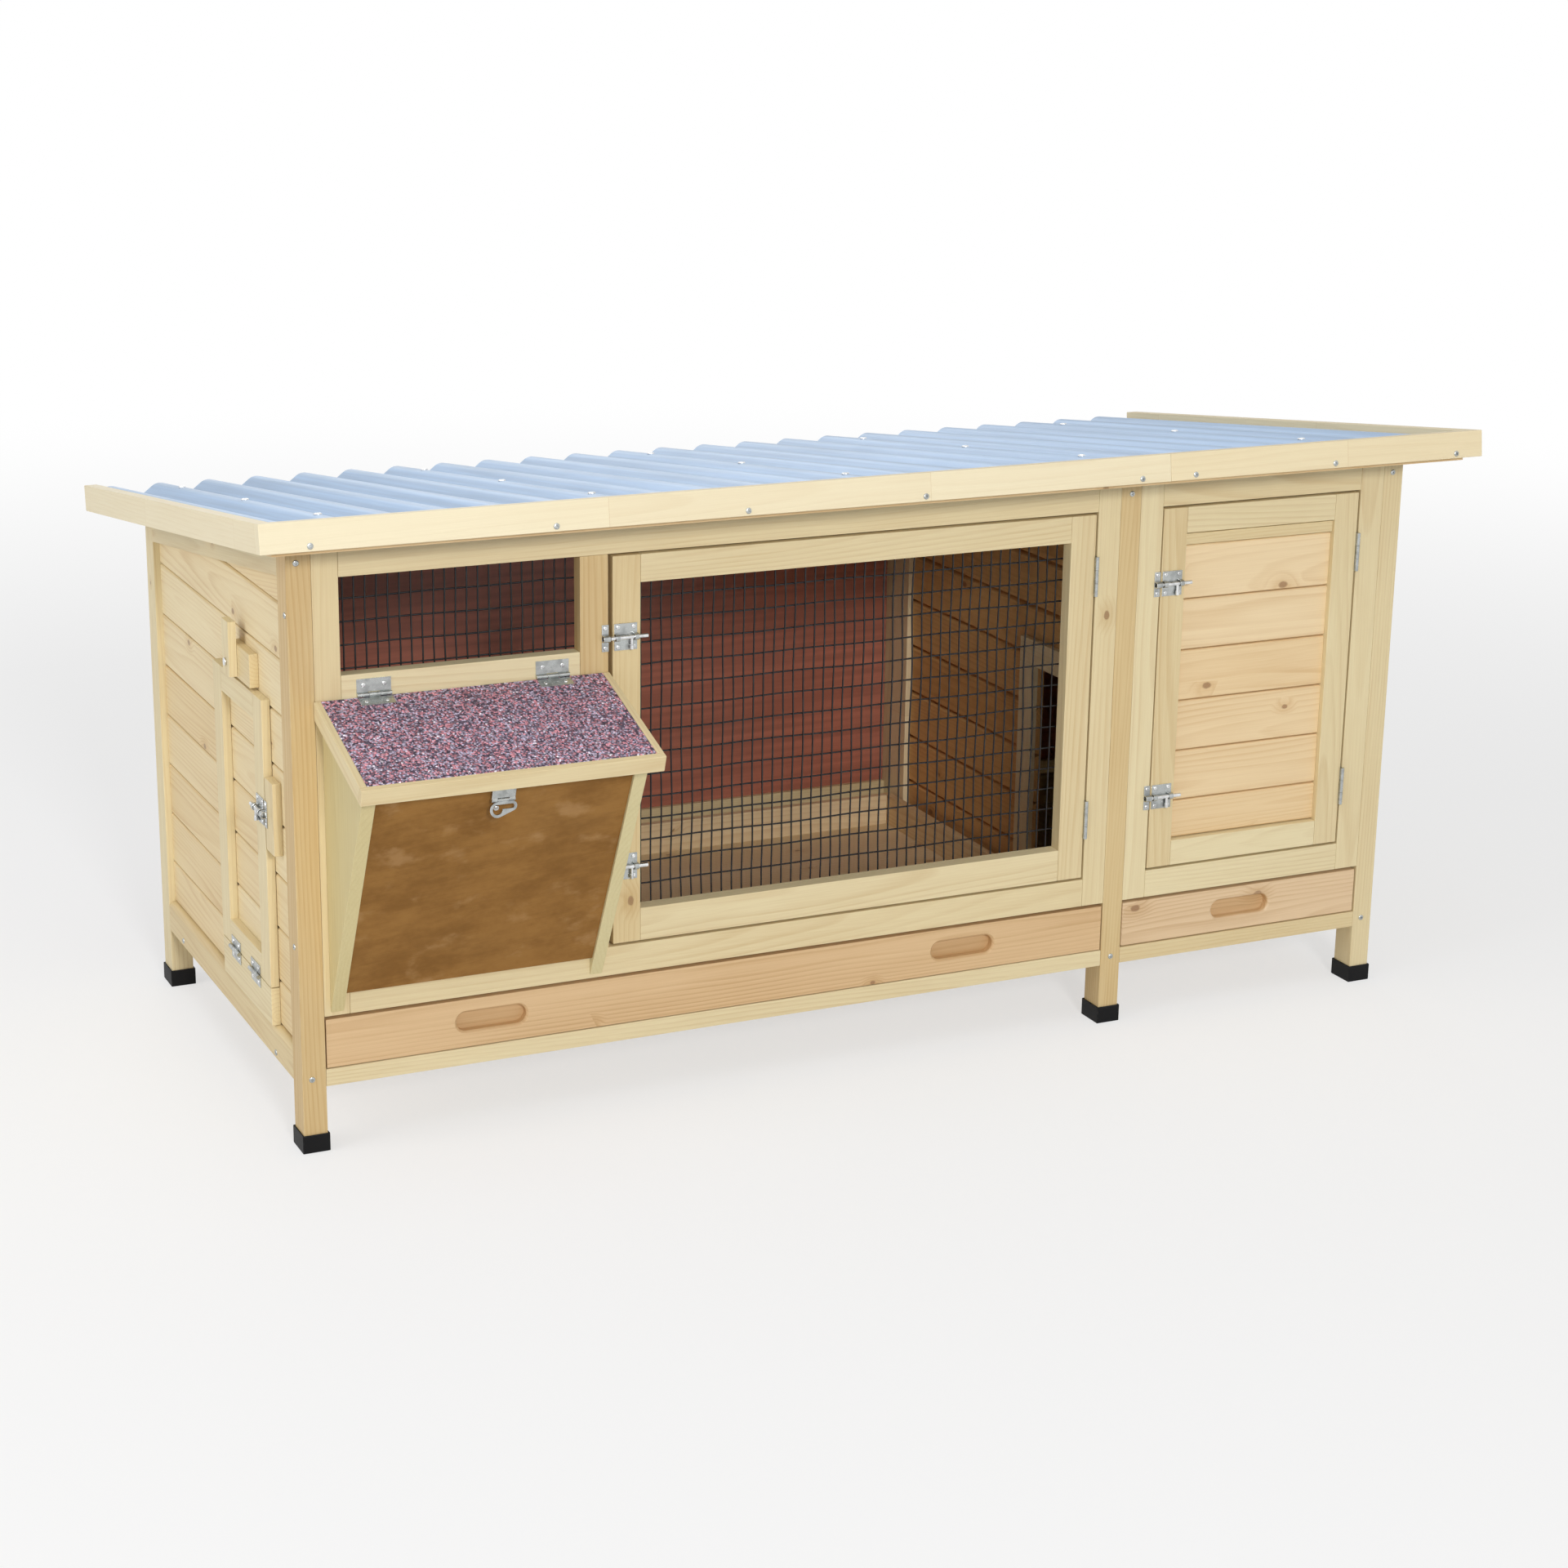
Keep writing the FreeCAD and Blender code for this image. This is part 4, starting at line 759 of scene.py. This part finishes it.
def corrugated_plastic():
    """Blue-grey sheet with a light gloss, faint flow lines along its waves and painted shade in its troughs.
    """
    s = bpy.context.scene.hutch_roof
    made, w = new_material("corrugated_plastic")
    at = w.attribute("grain_at", "Vector")
    flow = w.noise(at * (160.0, 2.0, 0.0), 1.0, 3.0)
    ripple = w.noise(at * (9.0, 14.0, 0.0), 1.0)
    base = w.blend(w.span(flow, 0.3, 0.7), shaded(s.sheet, 0.88), shaded(s.sheet, 1.12))
    # Painted shade in the troughs: a darker copy of the sheet's colour, in patches along the sheet
    trough_shade_patches = w.span(w.noise(at * (30.0, 3.0, 0.0), 1.0, 3.0), 0.3, 0.7, 0.25, 0.6)
    from_trough = w.parts(at)[2]
    base = w.blend(w.span(from_trough, 0.45, 0.0) * trough_shade_patches, base, shaded(s.sheet, 0.45))
    height = ripple * 4.0 + flow * 0.2
    w.surface(*handled(w, base, (0.45, 0.47, 0.5), 0.1, 0.42, 5.0), height, 0.0008, 0.35,
              {"Coat Weight": 0.12, "Coat Roughness": 0.28})
    return made


def mineral_felt():
    """Bitumen felt covered with mineral grains of several colours."""
    s = bpy.context.scene.hutch_roof
    made, w = new_material("mineral_felt")
    at = w.place()
    grain = w.cells(at, 1.0 / s.grain_size)
    chance = w.parts(grain["Color"])
    pick = w.blend(w.span(chance[0], 0.42, 0.56), s.felt_red, s.felt_grey)
    pick = w.blend(chance[2].reckon("GREATER_THAN", 0.96), pick, s.felt_pale)
    pick = w.blend(chance[2].reckon("LESS_THAN", 0.27), pick, s.felt_dark)
    lit = w.scaled(pick, w.span(chance[1], 0.0, 1.0, 0.5, 2.2, False))
    base = w.blend(w.span(grain["Distance"], 0.5, 0.8) * 0.75, lit, s.felt_dark)
    base = w.blend(w.span(w.noise(at, 26.0, 3.0), 0.42, 0.75, 0.0, 0.15), base, s.felt_dark)
    rough = w.span(chance[2], 0.0, 1.0, 0.55, 0.9, False)
    w.surface(base, rough, chance[1] * 0.5 - grain["Distance"], 0.0009, 0.8, {"Specular IOR Level": 0.3})
    return made


# Small fasteners
def screw_mesh(radius):
    """Head of a cross-recessed wood screw, standing on z = 0."""
    bm = bmesh.new()
    rings = [ring(bm, UP * (radius * height), RIGHT, BACK, radius * share, SCREW_SIDES)
             for share, height in SCREW_RINGS]
    join_rings(bm, rings)
    arm, half = CROSS_ARM * radius, CROSS_HALF_WIDTH * radius
    outline = ((arm, -half), (arm, half), (half, half), (half, arm), (-half, arm), (-half, half),
               (-arm, half), (-arm, -half), (-half, -half), (-half, -arm), (half, -arm), (half, -half))
    top = [bm.verts.new((x, y, SCREW_RINGS[-1][1] * radius)) for x, y in outline]
    floor = [bm.verts.new((x * CROSS_TAPER, y * CROSS_TAPER, CROSS_FLOOR * radius)) for x, y in outline]
    bm.verts.index_update()
    edge_ring = rings[-1]
    rim = [bm.edges.get(pair) for pair in zip(edge_ring, edge_ring[1:] + edge_ring[:1])]
    cross = [bm.edges.new(pair) for pair in zip(top, top[1:] + top[:1])]
    bmesh.ops.triangle_fill(bm, edges=rim + cross, use_beauty=True, use_dissolve=False, normal=UP)
    join_rings(bm, (top, floor))
    bm.faces.new(floor)
    bm.faces.new(rings[0][::-1])
    bmesh.ops.recalc_face_normals(bm, faces=bm.faces)
    return bm


def add_screw(shell, radius, place, normal, number):
    """Seat one screw head on a surface, turned its own way."""
    bm = screw_mesh(radius)
    twist = Matrix.Rotation(random.Random(number).uniform(0.0, math.pi), 4, "Z")
    turn = normal.to_track_quat("Z", "Y").to_matrix().to_4x4()
    bm.transform(Matrix.Translation(place) @ turn @ twist)
    shell.take(bm)


@functools.lru_cache(maxsize=None)
def node_tree_of(node):
    """Search tree over a node's faces."""
    mesh = frame["nodes"][node].data
    return BVHTree.FromPolygons([v.co for v in mesh.vertices], [p.vertices for p in mesh.polygons])


def seat(nodes, start, inward):
    """Where a line first meets one of the nodes, and which way the surface faces there."""
    hits = [node_tree_of(node).ray_cast(start, inward) for node in nodes]
    hits = [hit for hit in hits if hit[0] is not None]
    if not hits:
        raise RuntimeError("a screw has nothing to sit on at " + str(tuple(start)))
    place, normal, _, _ = min(hits, key=lambda hit: hit[3])
    return place, normal if normal.dot(inward) < 0 else -normal


def plate_screws(shell, node, inward, side, spots, radius, only=None):
    """Screws at shares of the sides of every plate in a node, seen along a direction."""
    up = inward.cross(side)
    for number, (points, _) in enumerate(closed_solids(node)):
        if only is not None and number not in only:
            continue
        (a0, a1), (b0, b1), (near, _) = [reach(points, axis) for axis in (side, up, inward)]
        for share_a, share_b in spots:
            start = (side * (a0 + (a1 - a0) * share_a) + up * (b0 + (b1 - b0) * share_b)
                     + inward * (near - SEAT_START))
            place, normal = seat([node], start, inward)
            add_screw(shell, radius, place, normal, number + round(1000 * share_a))


# One operator for each piece or group of like pieces
class HUTCH_OT_stage(bpy.types.Operator):
    """Lay the floor, place the lamps and set the camera"""
    bl_idname = "hutch.stage"
    bl_label = "Stage"

    def execute(self, context):
        s = context.scene.hutch_stage
        half = s.floor_size / 2.0
        mesh = bpy.data.meshes.new("studio_floor")
        mesh.from_pydata([(-half, -half, 0), (half, -half, 0), (half, half, 0), (-half, half, 0)], [],
                         [(0, 1, 2, 3)])
        made, w = new_material("pale_floor")
        shader = made.node_tree.nodes["Principled BSDF"]
        w.feed_all(shader, {"Base Color": s.floor, "Roughness": 0.9, "Specular IOR Level": 0.1})
        share = w.span(w.place().reckon("LENGTH"), s.white_near, s.white_far, s.white, 1.0)
        white = w.lay("ShaderNodeEmission")
        mix = w.lay("ShaderNodeMixShader", {0: w.seen() * share, 1: w.out(shader), 2: w.out(white)})
        w.feed(made.node_tree.nodes["Material Output"].inputs["Surface"], w.out(mix))
        mesh.materials.append(made)
        self.set_up(context, "studio_floor", mesh)

        world = bpy.data.worlds.new("studio_world")
        world.use_nodes = True
        context.scene.world = world
        w = Wiring(world.node_tree)
        w.feed_all(world.node_tree.nodes["Background"],
                   {"Color": (1.0, 1.0, 1.0), "Strength": w.span(w.seen(), 0.0, 1.0, s.sky, 1.0, False)})

        for name in ("key", "top", "left", "back"):
            light = bpy.data.lights.new(name + "_lamp", "AREA")
            light.energy = getattr(s, name + "_power")
            light.size = getattr(s, name + "_size")
            lamp = self.set_up(context, name + "_lamp", light)
            lamp.matrix_world = self.facing(getattr(s, name + "_place"), s.lamp_aim)

        lens = bpy.data.cameras.new("photo_camera")
        lens.lens = s.lens
        lens.sensor_width = 36.0
        camera = self.set_up(context, "photo_camera", lens)
        camera.matrix_world = self.facing(s.camera, s.aim) @ Matrix.Rotation(s.roll, 4, "Z")
        context.scene.camera = camera
        context.scene.view_settings.view_transform = "Standard"
        return {"FINISHED"}

    def set_up(self, context, name, data):
        made = bpy.data.objects.new(name, data)
        context.scene.collection.objects.link(made)
        return made

    def facing(self, place, aim):
        """Place and turn of a lamp or camera that looks at a point."""
        sight = Vector(aim) - Vector(place)
        return Matrix.Translation(place) @ sight.to_track_quat("-Z", "Y").to_matrix().to_4x4()


class HUTCH_OT_frame(bpy.types.Operator):
    """Dress the posts, rails, stiles and door frames in glazed wood"""
    bl_idname = "hutch.frame"
    bl_label = "Frame timber"

    def execute(self, context):
        s = context.scene.hutch_timber
        for node in ("front_posts", "back_posts", "base_rails", "front_stiles", "front_rails", "top_rails",
                     "lid_trim", "ramp_frame", "ramp_sill", "keeper_slat", "button_block", "turn_button"):
            dress_wood(node, wood("glazed"), s.frame_rounding, "timber")
        for node in ("mesh_door_frame", "nest_door_frame"):
            dress_wood(node, wood("glazed"), s.frame_rounding, "timber", -BACK, s.board_joint)
        # The cheeks' darker wood is painted shade from the lid
        dress_wood("feeder_cheeks", wood("cheek"), s.frame_rounding, "timber")
        return {"FINISHED"}


class HUTCH_OT_boards(bpy.types.Operator):
    """Dress the wall, door and partition boards, the trays and the battens in knotty wood"""
    bl_idname = "hutch.boards"
    bl_label = "Boards"

    def execute(self, context):
        s = context.scene.hutch_timber
        for node, kind, outward, joint in (("left_wall_boards", "side", -RIGHT, s.board_joint),
                                           ("right_wall_boards", "side", RIGHT, s.board_joint),
                                           ("ramp_boards", "side", -RIGHT, s.board_joint),
                                           ("nest_door_boards", "board", -BACK, s.board_joint),
                                           ("partition_boards", "inner", -RIGHT, s.inner_joint)):
            dress_wood(node, wood(kind), s.board_rounding, "pine", outward, joint)
        dress_wood("partition_frame", wood("doorway"), s.board_rounding, "pine")
        for node in ("doorway_battens", "roof_purlins", "drawer_runners", "left_drawer_tray",
                     "right_drawer_tray", "hay_rack_bars"):
            dress_wood(node, wood("board"), s.board_rounding, "pine")
        return {"FINISHED"}


class HUTCH_OT_drawer_fronts(bpy.types.Operator):
    """Dress the two drawer fronts, with painted shade in their finger recesses"""
    bl_idname = "hutch.drawer_fronts"
    bl_label = "Drawer fronts"

    def execute(self, context):
        s = context.scene.hutch_timber
        for node in ("left_drawer_front", "right_drawer_front"):
            dress_wood(node, wood("drawer"), s.drawer_rounding, "pine", trim=s.drawer_trim,
                       recess_tone=s.recess_tone)
        return {"FINISHED"}


class HUTCH_OT_fascias(bpy.types.Operator):
    """Dress the boards round the roof's edge"""
    bl_idname = "hutch.fascias"
    bl_label = "Fascias"

    def execute(self, context):
        for node in ("front_fascia_left", "front_fascia_right", "side_fascias"):
            dress_wood(node, wood("fascia"), context.scene.hutch_timber.frame_rounding, "timber")
        return {"FINISHED"}


class HUTCH_OT_panels(bpy.types.Operator):
    """Dress the feeder's plywood and the panels at the back"""
    bl_idname = "hutch.panels"
    bl_label = "Panels"

    def execute(self, context):
        rounding = context.scene.hutch_timber.board_rounding
        stained = plywood()
        for node in ("feeder_front_panel", "lid_board"):
            dress_wood(node, stained, rounding, "plywood")
        dress_wood("back_panels", film_panel(), rounding, "film_face")
        return {"FINISHED"}


class HUTCH_OT_felt(bpy.types.Operator):
    """Dress the feeder lid's felt with its mineral grains"""
    bl_idname = "hutch.felt"
    bl_label = "Lid felt"

    def execute(self, context):
        dress_metal("lid_felt", mineral_felt(), context.scene.hutch_timber.board_rounding, "grains")
        return {"FINISHED"}


class HUTCH_OT_wire_mesh(bpy.types.Operator):
    """Draw the round, welded wires of the door and the window"""
    bl_idname = "hutch.wire_mesh"
    bl_label = "Welded wire"

    # Sides and step of a wire, and how far in the wood holds it still and then lets it stray
    sides = 8
    step = 0.0125
    held_edge = 0.008
    held_fade = 0.03

    def execute(self, context):
        for node in ("mesh_door_wire", "window_mesh"):
            shell = Shell()
            low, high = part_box(node)
            for points, _ in closed_solids(node):
                self.wire(shell, points, low, high, context.scene.hutch_fittings)
            shell.piece(node + "_welded", coated_wire(), node, replace=True)
        return {"FINISHED"}

    def stray(self, place, low, high, wander):
        """Shared wander of all wires at a place, which dies away where the wood holds them."""
        held = 1.0
        for axis in (0, 2):
            near = min(place[axis] - low[axis], high[axis] - place[axis])
            held *= min(1.0, max(0.0, (near - self.held_edge) / self.held_fade))
        x, z = place.x, place.z

        # Long waves over the whole mesh, in radians to a metre along x and z
        across = math.sin(23.0 * x + 41.0 * z) + 0.6 * math.sin(57.0 * x - 31.0 * z + 1.0)
        upward = math.sin(37.0 * x - 19.0 * z + 2.0) + 0.6 * math.sin(61.0 * z + 13.0 * x)
        inward = 0.9 + math.sin(17.0 * x + 29.0 * z + 4.0)
        return Vector((across * 0.5, inward * 0.6, upward * 0.5)) * (wander * held)

    def wire(self, shell, points, low, high, fittings):
        """One round wire along the middle of its bar."""
        ends = [reach(points, axis) for axis in (RIGHT, BACK, UP)]
        axis = max(range(3), key=lambda a: ends[a][1] - ends[a][0])
        first, last = ends[axis]
        count = max(2, round((last - first) / self.step))
        spokes = (RIGHT, BACK) if axis == 2 else (BACK, UP)
        bm = bmesh.new()
        rings = []
        for stop in range(count + 1):
            place = Vector([(end[0] + end[1]) / 2.0 for end in ends])
            place[axis] = first + (last - first) * stop / count
            place += self.stray(place, low, high, fittings.wire_wander)
            rings.append(ring(bm, place, *spokes, fittings.wire_radius, self.sides))
        join_rings(bm, rings)
        bm.faces.new(rings[0])
        bm.faces.new(rings[-1])
        bmesh.ops.recalc_face_normals(bm, faces=bm.faces)
        shell.take(bm)


class HUTCH_OT_roof_sheet(bpy.types.Operator):
    """Roll the corrugated sheet with smooth crests and screw it down"""
    bl_idname = "hutch.roof_sheet"
    bl_label = "Roof sheet"

    def execute(self, context):
        s = context.scene.hutch_roof
        points, triangles = closed_solids("roof_sheet")[0]
        bm = solid_mesh(points, triangles)
        along = long_axes(bm)[0]
        bm.free()
        through = RIGHT.cross(along)
        (x0, x1), lengths, (trough, crest) = [reach(points, axis) for axis in (RIGHT, along, through)]
        half_wave = (x1 - x0 - s.sheet_thickness * math.sin(s.wave_lean)) / (2 * s.wave_count)
        rise = (crest - trough - s.sheet_thickness) / 2.0
        level = (trough + crest) / 2.0
        left = (x0 + x1) / 2.0 - half_wave * s.wave_count
        upper, lower = [self.line(s, left, half_wave, rise, level, side * s.sheet_thickness / 2.0)
                        for side in (1.0, -1.0)]
        outline = upper + lower[::-1]
        bm = bmesh.new()
        rows = [[bm.verts.new(RIGHT * x + along * y + through * z) for x, z in outline] for y in lengths]
        join_rings(bm, rows)
        for row in rows:
            for a in range(len(upper) - 1):
                bm.faces.new((row[a], row[a + 1], row[-a - 2], row[-a - 1]))
        bmesh.ops.recalc_face_normals(bm, faces=bm.faces)

        # Across, along and from trough (0) to crest (1)
        share = 1.0 / (crest - trough)
        wave_place = Matrix((RIGHT, along, through * share)).to_4x4()
        wave_place.translation = Vector((0.0, 0.0, -trough * share))
        shell = Shell()
        shell.take(bm, wave_place)
        shell.piece("roof_sheet_smooth", corrugated_plastic(), "roof_sheet", replace=True)

        # Roof screws through the crests into the middle and back purlins
        screws = Shell()
        radius = context.scene.hutch_fittings.sheet_screw_radius
        for points, _ in closed_solids("roof_purlins")[1:]:
            purlin = sum(points, Vector()) / len(points)
            for wave in range(1, s.wave_count, s.screw_waves):
                place = RIGHT * (left + (2 * wave + 0.5) * half_wave) + along * purlin.dot(along)
                add_screw(screws, radius, place + through * crest, through, wave)
        screws.piece("roof_screws", plated("bright_zinc"), "roof_sheet", "button_screw")
        return {"FINISHED"}

    def line(self, s, left, half_wave, rise, level, offset):
        """One side of the waved section: straight flanks and round crests."""
        lean = s.wave_lean
        aside, above = -offset * math.sin(lean), offset * math.cos(lean)
        radius = (half_wave / 2.0 * math.sin(lean) - rise * math.cos(lean)) / (1.0 - math.cos(lean))
        places = [(left + aside, level + above)]
        for wave in range(2 * s.wave_count):
            sense = 1.0 if wave % 2 == 0 else -1.0
            bend = radius + sense * offset
            middle = left + (wave + 0.5) * half_wave
            for stop in range(s.wave_bends + 1):
                turn = lean * (2.0 * stop / s.wave_bends - 1.0)
                places.append((middle + bend * math.sin(turn),
                               level + sense * (rise - radius + bend * math.cos(turn))))
        places.append((left + 2 * s.wave_count * half_wave + aside, level + above))
        return places


class HUTCH_OT_foot_caps(bpy.types.Operator):
    """Dress the moulded caps under the posts"""
    bl_idname = "hutch.foot_caps"
    bl_label = "Foot caps"

    def execute(self, context):
        dress_wood("foot_caps", moulded_plastic(), context.scene.hutch_timber.frame_rounding, "moulded")
        return {"FINISHED"}


class HUTCH_OT_hinges(bpy.types.Operator):
    """Dress the butt hinges and screw them down"""
    bl_idname = "hutch.hinges"
    bl_label = "Hinges"

    # Shares of a leaf's width and height, on the half away from its knuckles
    far_half = ((0.2, 0.66), (0.8, 0.66))
    near_half = ((0.2, 0.34), (0.8, 0.34))

    def execute(self, context):
        s = context.scene.hutch_fittings
        for node in ("mesh_door_hinge_leaves", "nest_door_hinge_leaves", "lid_hinge_leaves",
                     "ramp_hinge_leaves", "fixed_hinge_leaves"):
            dress_metal(node, plated("zinc"), s.metal_rounding)
        felt = solid_mesh(*closed_solids("lid_felt")[0])
        into_lid = max(felt.faces, key=lambda face: face.calc_area() * -face.normal.z).normal.copy()
        felt.free()
        radius = s.small_screw_radius
        for node, inward, side in (("lid_hinge_leaves", into_lid, RIGHT), ("ramp_hinge_leaves", RIGHT, BACK)):
            shell = Shell()
            plate_screws(shell, node, inward, side, self.far_half, radius)
            shell.piece(node + "_screws", plated("bright_zinc"), node)
        node = "fixed_hinge_leaves"
        leftmost = [reach(points, RIGHT)[0] for points, _ in closed_solids(node)]
        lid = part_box("lid_hinge_leaves")
        on_rail = [n for n, x in enumerate(leftmost) if lid[0][0] - radius < x < lid[1][0]]
        on_sill = [n for n, x in enumerate(leftmost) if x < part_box("front_posts")[0][0]]
        shell = Shell()
        plate_screws(shell, node, BACK, RIGHT, self.near_half, radius, on_rail)
        plate_screws(shell, node, RIGHT, BACK, self.near_half, radius, on_sill)
        shell.piece(node + "_screws", plated("bright_zinc"), node)
        return {"FINISHED"}


class HUTCH_OT_bolts(bpy.types.Operator):
    """Dress the barrel bolts with their plates, keepers and screws"""
    bl_idname = "hutch.bolts"
    bl_label = "Barrel bolts"

    # Shares of a plate's and a keeper's width and height, and the numbers of the keepers
    corners = ((0.16, 0.13), (0.84, 0.13), (0.16, 0.87), (0.84, 0.87))
    ends = ((0.5, 0.13), (0.5, 0.87))
    front_keepers = (0, 1, 2, 3)
    ramp_keepers = (4,)

    def execute(self, context):
        s = context.scene.hutch_fittings
        for node in ("mesh_door_lower_bolt", "mesh_door_upper_bolt", "nest_door_lower_bolt",
                     "nest_door_upper_bolt", "ramp_bolt"):
            dress_metal(node, plated("bright_zinc"), s.metal_rounding)
        for node in ("mesh_door_bolt_plates", "nest_door_bolt_plates", "ramp_bolt_plate", "bolt_keepers"):
            dress_metal(node, plated("zinc"), s.metal_rounding)
        radius = s.small_screw_radius
        for node, inward, side in (("mesh_door_bolt_plates", BACK, RIGHT),
                                   ("nest_door_bolt_plates", BACK, RIGHT), ("ramp_bolt_plate", RIGHT, BACK)):
            shell = Shell()
            plate_screws(shell, node, inward, side, self.corners, radius)
            shell.piece(node + "_screws", plated("bright_zinc"), node)
        shell = Shell()
        plate_screws(shell, "bolt_keepers", BACK, RIGHT, self.ends, radius, self.front_keepers)
        plate_screws(shell, "bolt_keepers", RIGHT, BACK, self.ends, radius, self.ramp_keepers)
        shell.piece("bolt_keeper_screws", plated("bright_zinc"), "bolt_keepers")
        return {"FINISHED"}


class HUTCH_OT_hasp(bpy.types.Operator):
    """Dress the hasp, its knob and the turn button's screw"""
    bl_idname = "hutch.hasp"
    bl_label = "Hasp"

    def execute(self, context):
        rounding = context.scene.hutch_fittings.metal_rounding
        for node, kind in (("hasp_plate", "zinc"), ("hasp_leaf", "zinc"),
                           ("hasp_knob", "bright_zinc"), ("button_screw", "bright_zinc")):
            dress_metal(node, plated(kind), rounding)
        return {"FINISHED"}


class HUTCH_OT_screws(bpy.types.Operator):
    """Drive the wood screws into the fascias, posts and rails"""
    bl_idname = "hutch.screws"
    bl_label = "Wood screws"

    # Distances from the front left corner of the carcass, heights above the floor, and how far out
    # the search for a seat starts
    fascia_places = (0.002, 0.266, 0.485, 0.699, 0.976, 1.047, 1.239, 1.412)
    fascia_height = 0.693
    post_places = (0.011, 1.016, 1.385)
    post_heights = (0.085, 0.657)
    side_places = ((0.100, 0.082), (0.008, 0.601), (0.013, 0.235), (0.500, 0.082))
    back_height = 0.52
    far = 1.0

    def execute(self, context):
        corner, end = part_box("front_posts")
        front = corner.y - self.far
        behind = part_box("back_posts")[1].y + self.far
        self.shell = Shell()
        self.count = 0
        self.radius = context.scene.hutch_fittings.screw_radius
        fascias = ("front_fascia_left", "front_fascia_right")
        for x in self.fascia_places:
            self.drive(fascias, (corner.x + x, front, self.fascia_height), BACK)
        for x in self.post_places:
            for z in self.post_heights:
                self.drive(("front_posts",), (corner.x + x, front, z), BACK)
            for z in (self.post_heights[0], self.back_height):
                self.drive(("back_posts",), (corner.x + x, behind, z), -BACK)
        for x, inward in ((corner.x - self.far, RIGHT), (end.x + self.far, -RIGHT)):
            for y, z in self.side_places:
                self.drive(("front_posts", "base_rails"), (x, corner.y + y, z), inward)
        self.shell.piece("wood_screws", plated("zinc"), "front_posts", "button_screw")
        return {"FINISHED"}

    def drive(self, nodes, start, inward):
        place, normal = seat(nodes, Vector(start), inward)
        self.count += 1
        add_screw(self.shell, self.radius, place, normal, self.count)


class HUTCH_PT_panel(bpy.types.Panel):
    """Lists the hutch's settings and pieces"""
    bl_idname = "HUTCH_PT_panel"
    bl_label = "Hutch"
    bl_space_type = "VIEW_3D"
    bl_region_type = "UI"
    bl_category = "Hutch"

    def draw(self, context):
        for name, group in SETTINGS:
            box = self.layout.box()
            for key in group.__annotations__:
                box.prop(getattr(context.scene, name), key)
        for operator in OPERATORS:
            self.layout.operator(operator.bl_idname)


OPERATORS = (HUTCH_OT_stage, HUTCH_OT_frame, HUTCH_OT_boards, HUTCH_OT_drawer_fronts, HUTCH_OT_fascias,
             HUTCH_OT_panels, HUTCH_OT_felt, HUTCH_OT_wire_mesh, HUTCH_OT_roof_sheet, HUTCH_OT_foot_caps,
             HUTCH_OT_hinges, HUTCH_OT_bolts, HUTCH_OT_hasp, HUTCH_OT_screws)


def register():
    for name, group in SETTINGS:
        bpy.utils.register_class(group)
        setattr(bpy.types.Scene, name, PointerProperty(type=group))
    for operator in OPERATORS:
        bpy.utils.register_class(operator)
    bpy.utils.register_class(HUTCH_PT_panel)


def unregister():
    bpy.utils.unregister_class(HUTCH_PT_panel)
    for operator in reversed(OPERATORS):
        bpy.utils.unregister_class(operator)
    for name, group in reversed(SETTINGS):
        delattr(bpy.types.Scene, name)
        bpy.utils.unregister_class(group)


def main():
    register()
    bpy.ops.hutch.stage()
    bpy.ops.hutch.frame()
    bpy.ops.hutch.boards()
    bpy.ops.hutch.drawer_fronts()
    bpy.ops.hutch.fascias()
    bpy.ops.hutch.panels()
    bpy.ops.hutch.felt()
    bpy.ops.hutch.wire_mesh()
    bpy.ops.hutch.roof_sheet()
    bpy.ops.hutch.foot_caps()
    bpy.ops.hutch.hinges()
    bpy.ops.hutch.bolts()
    bpy.ops.hutch.hasp()
    bpy.ops.hutch.screws()


if __name__ == "__main__":
    main()
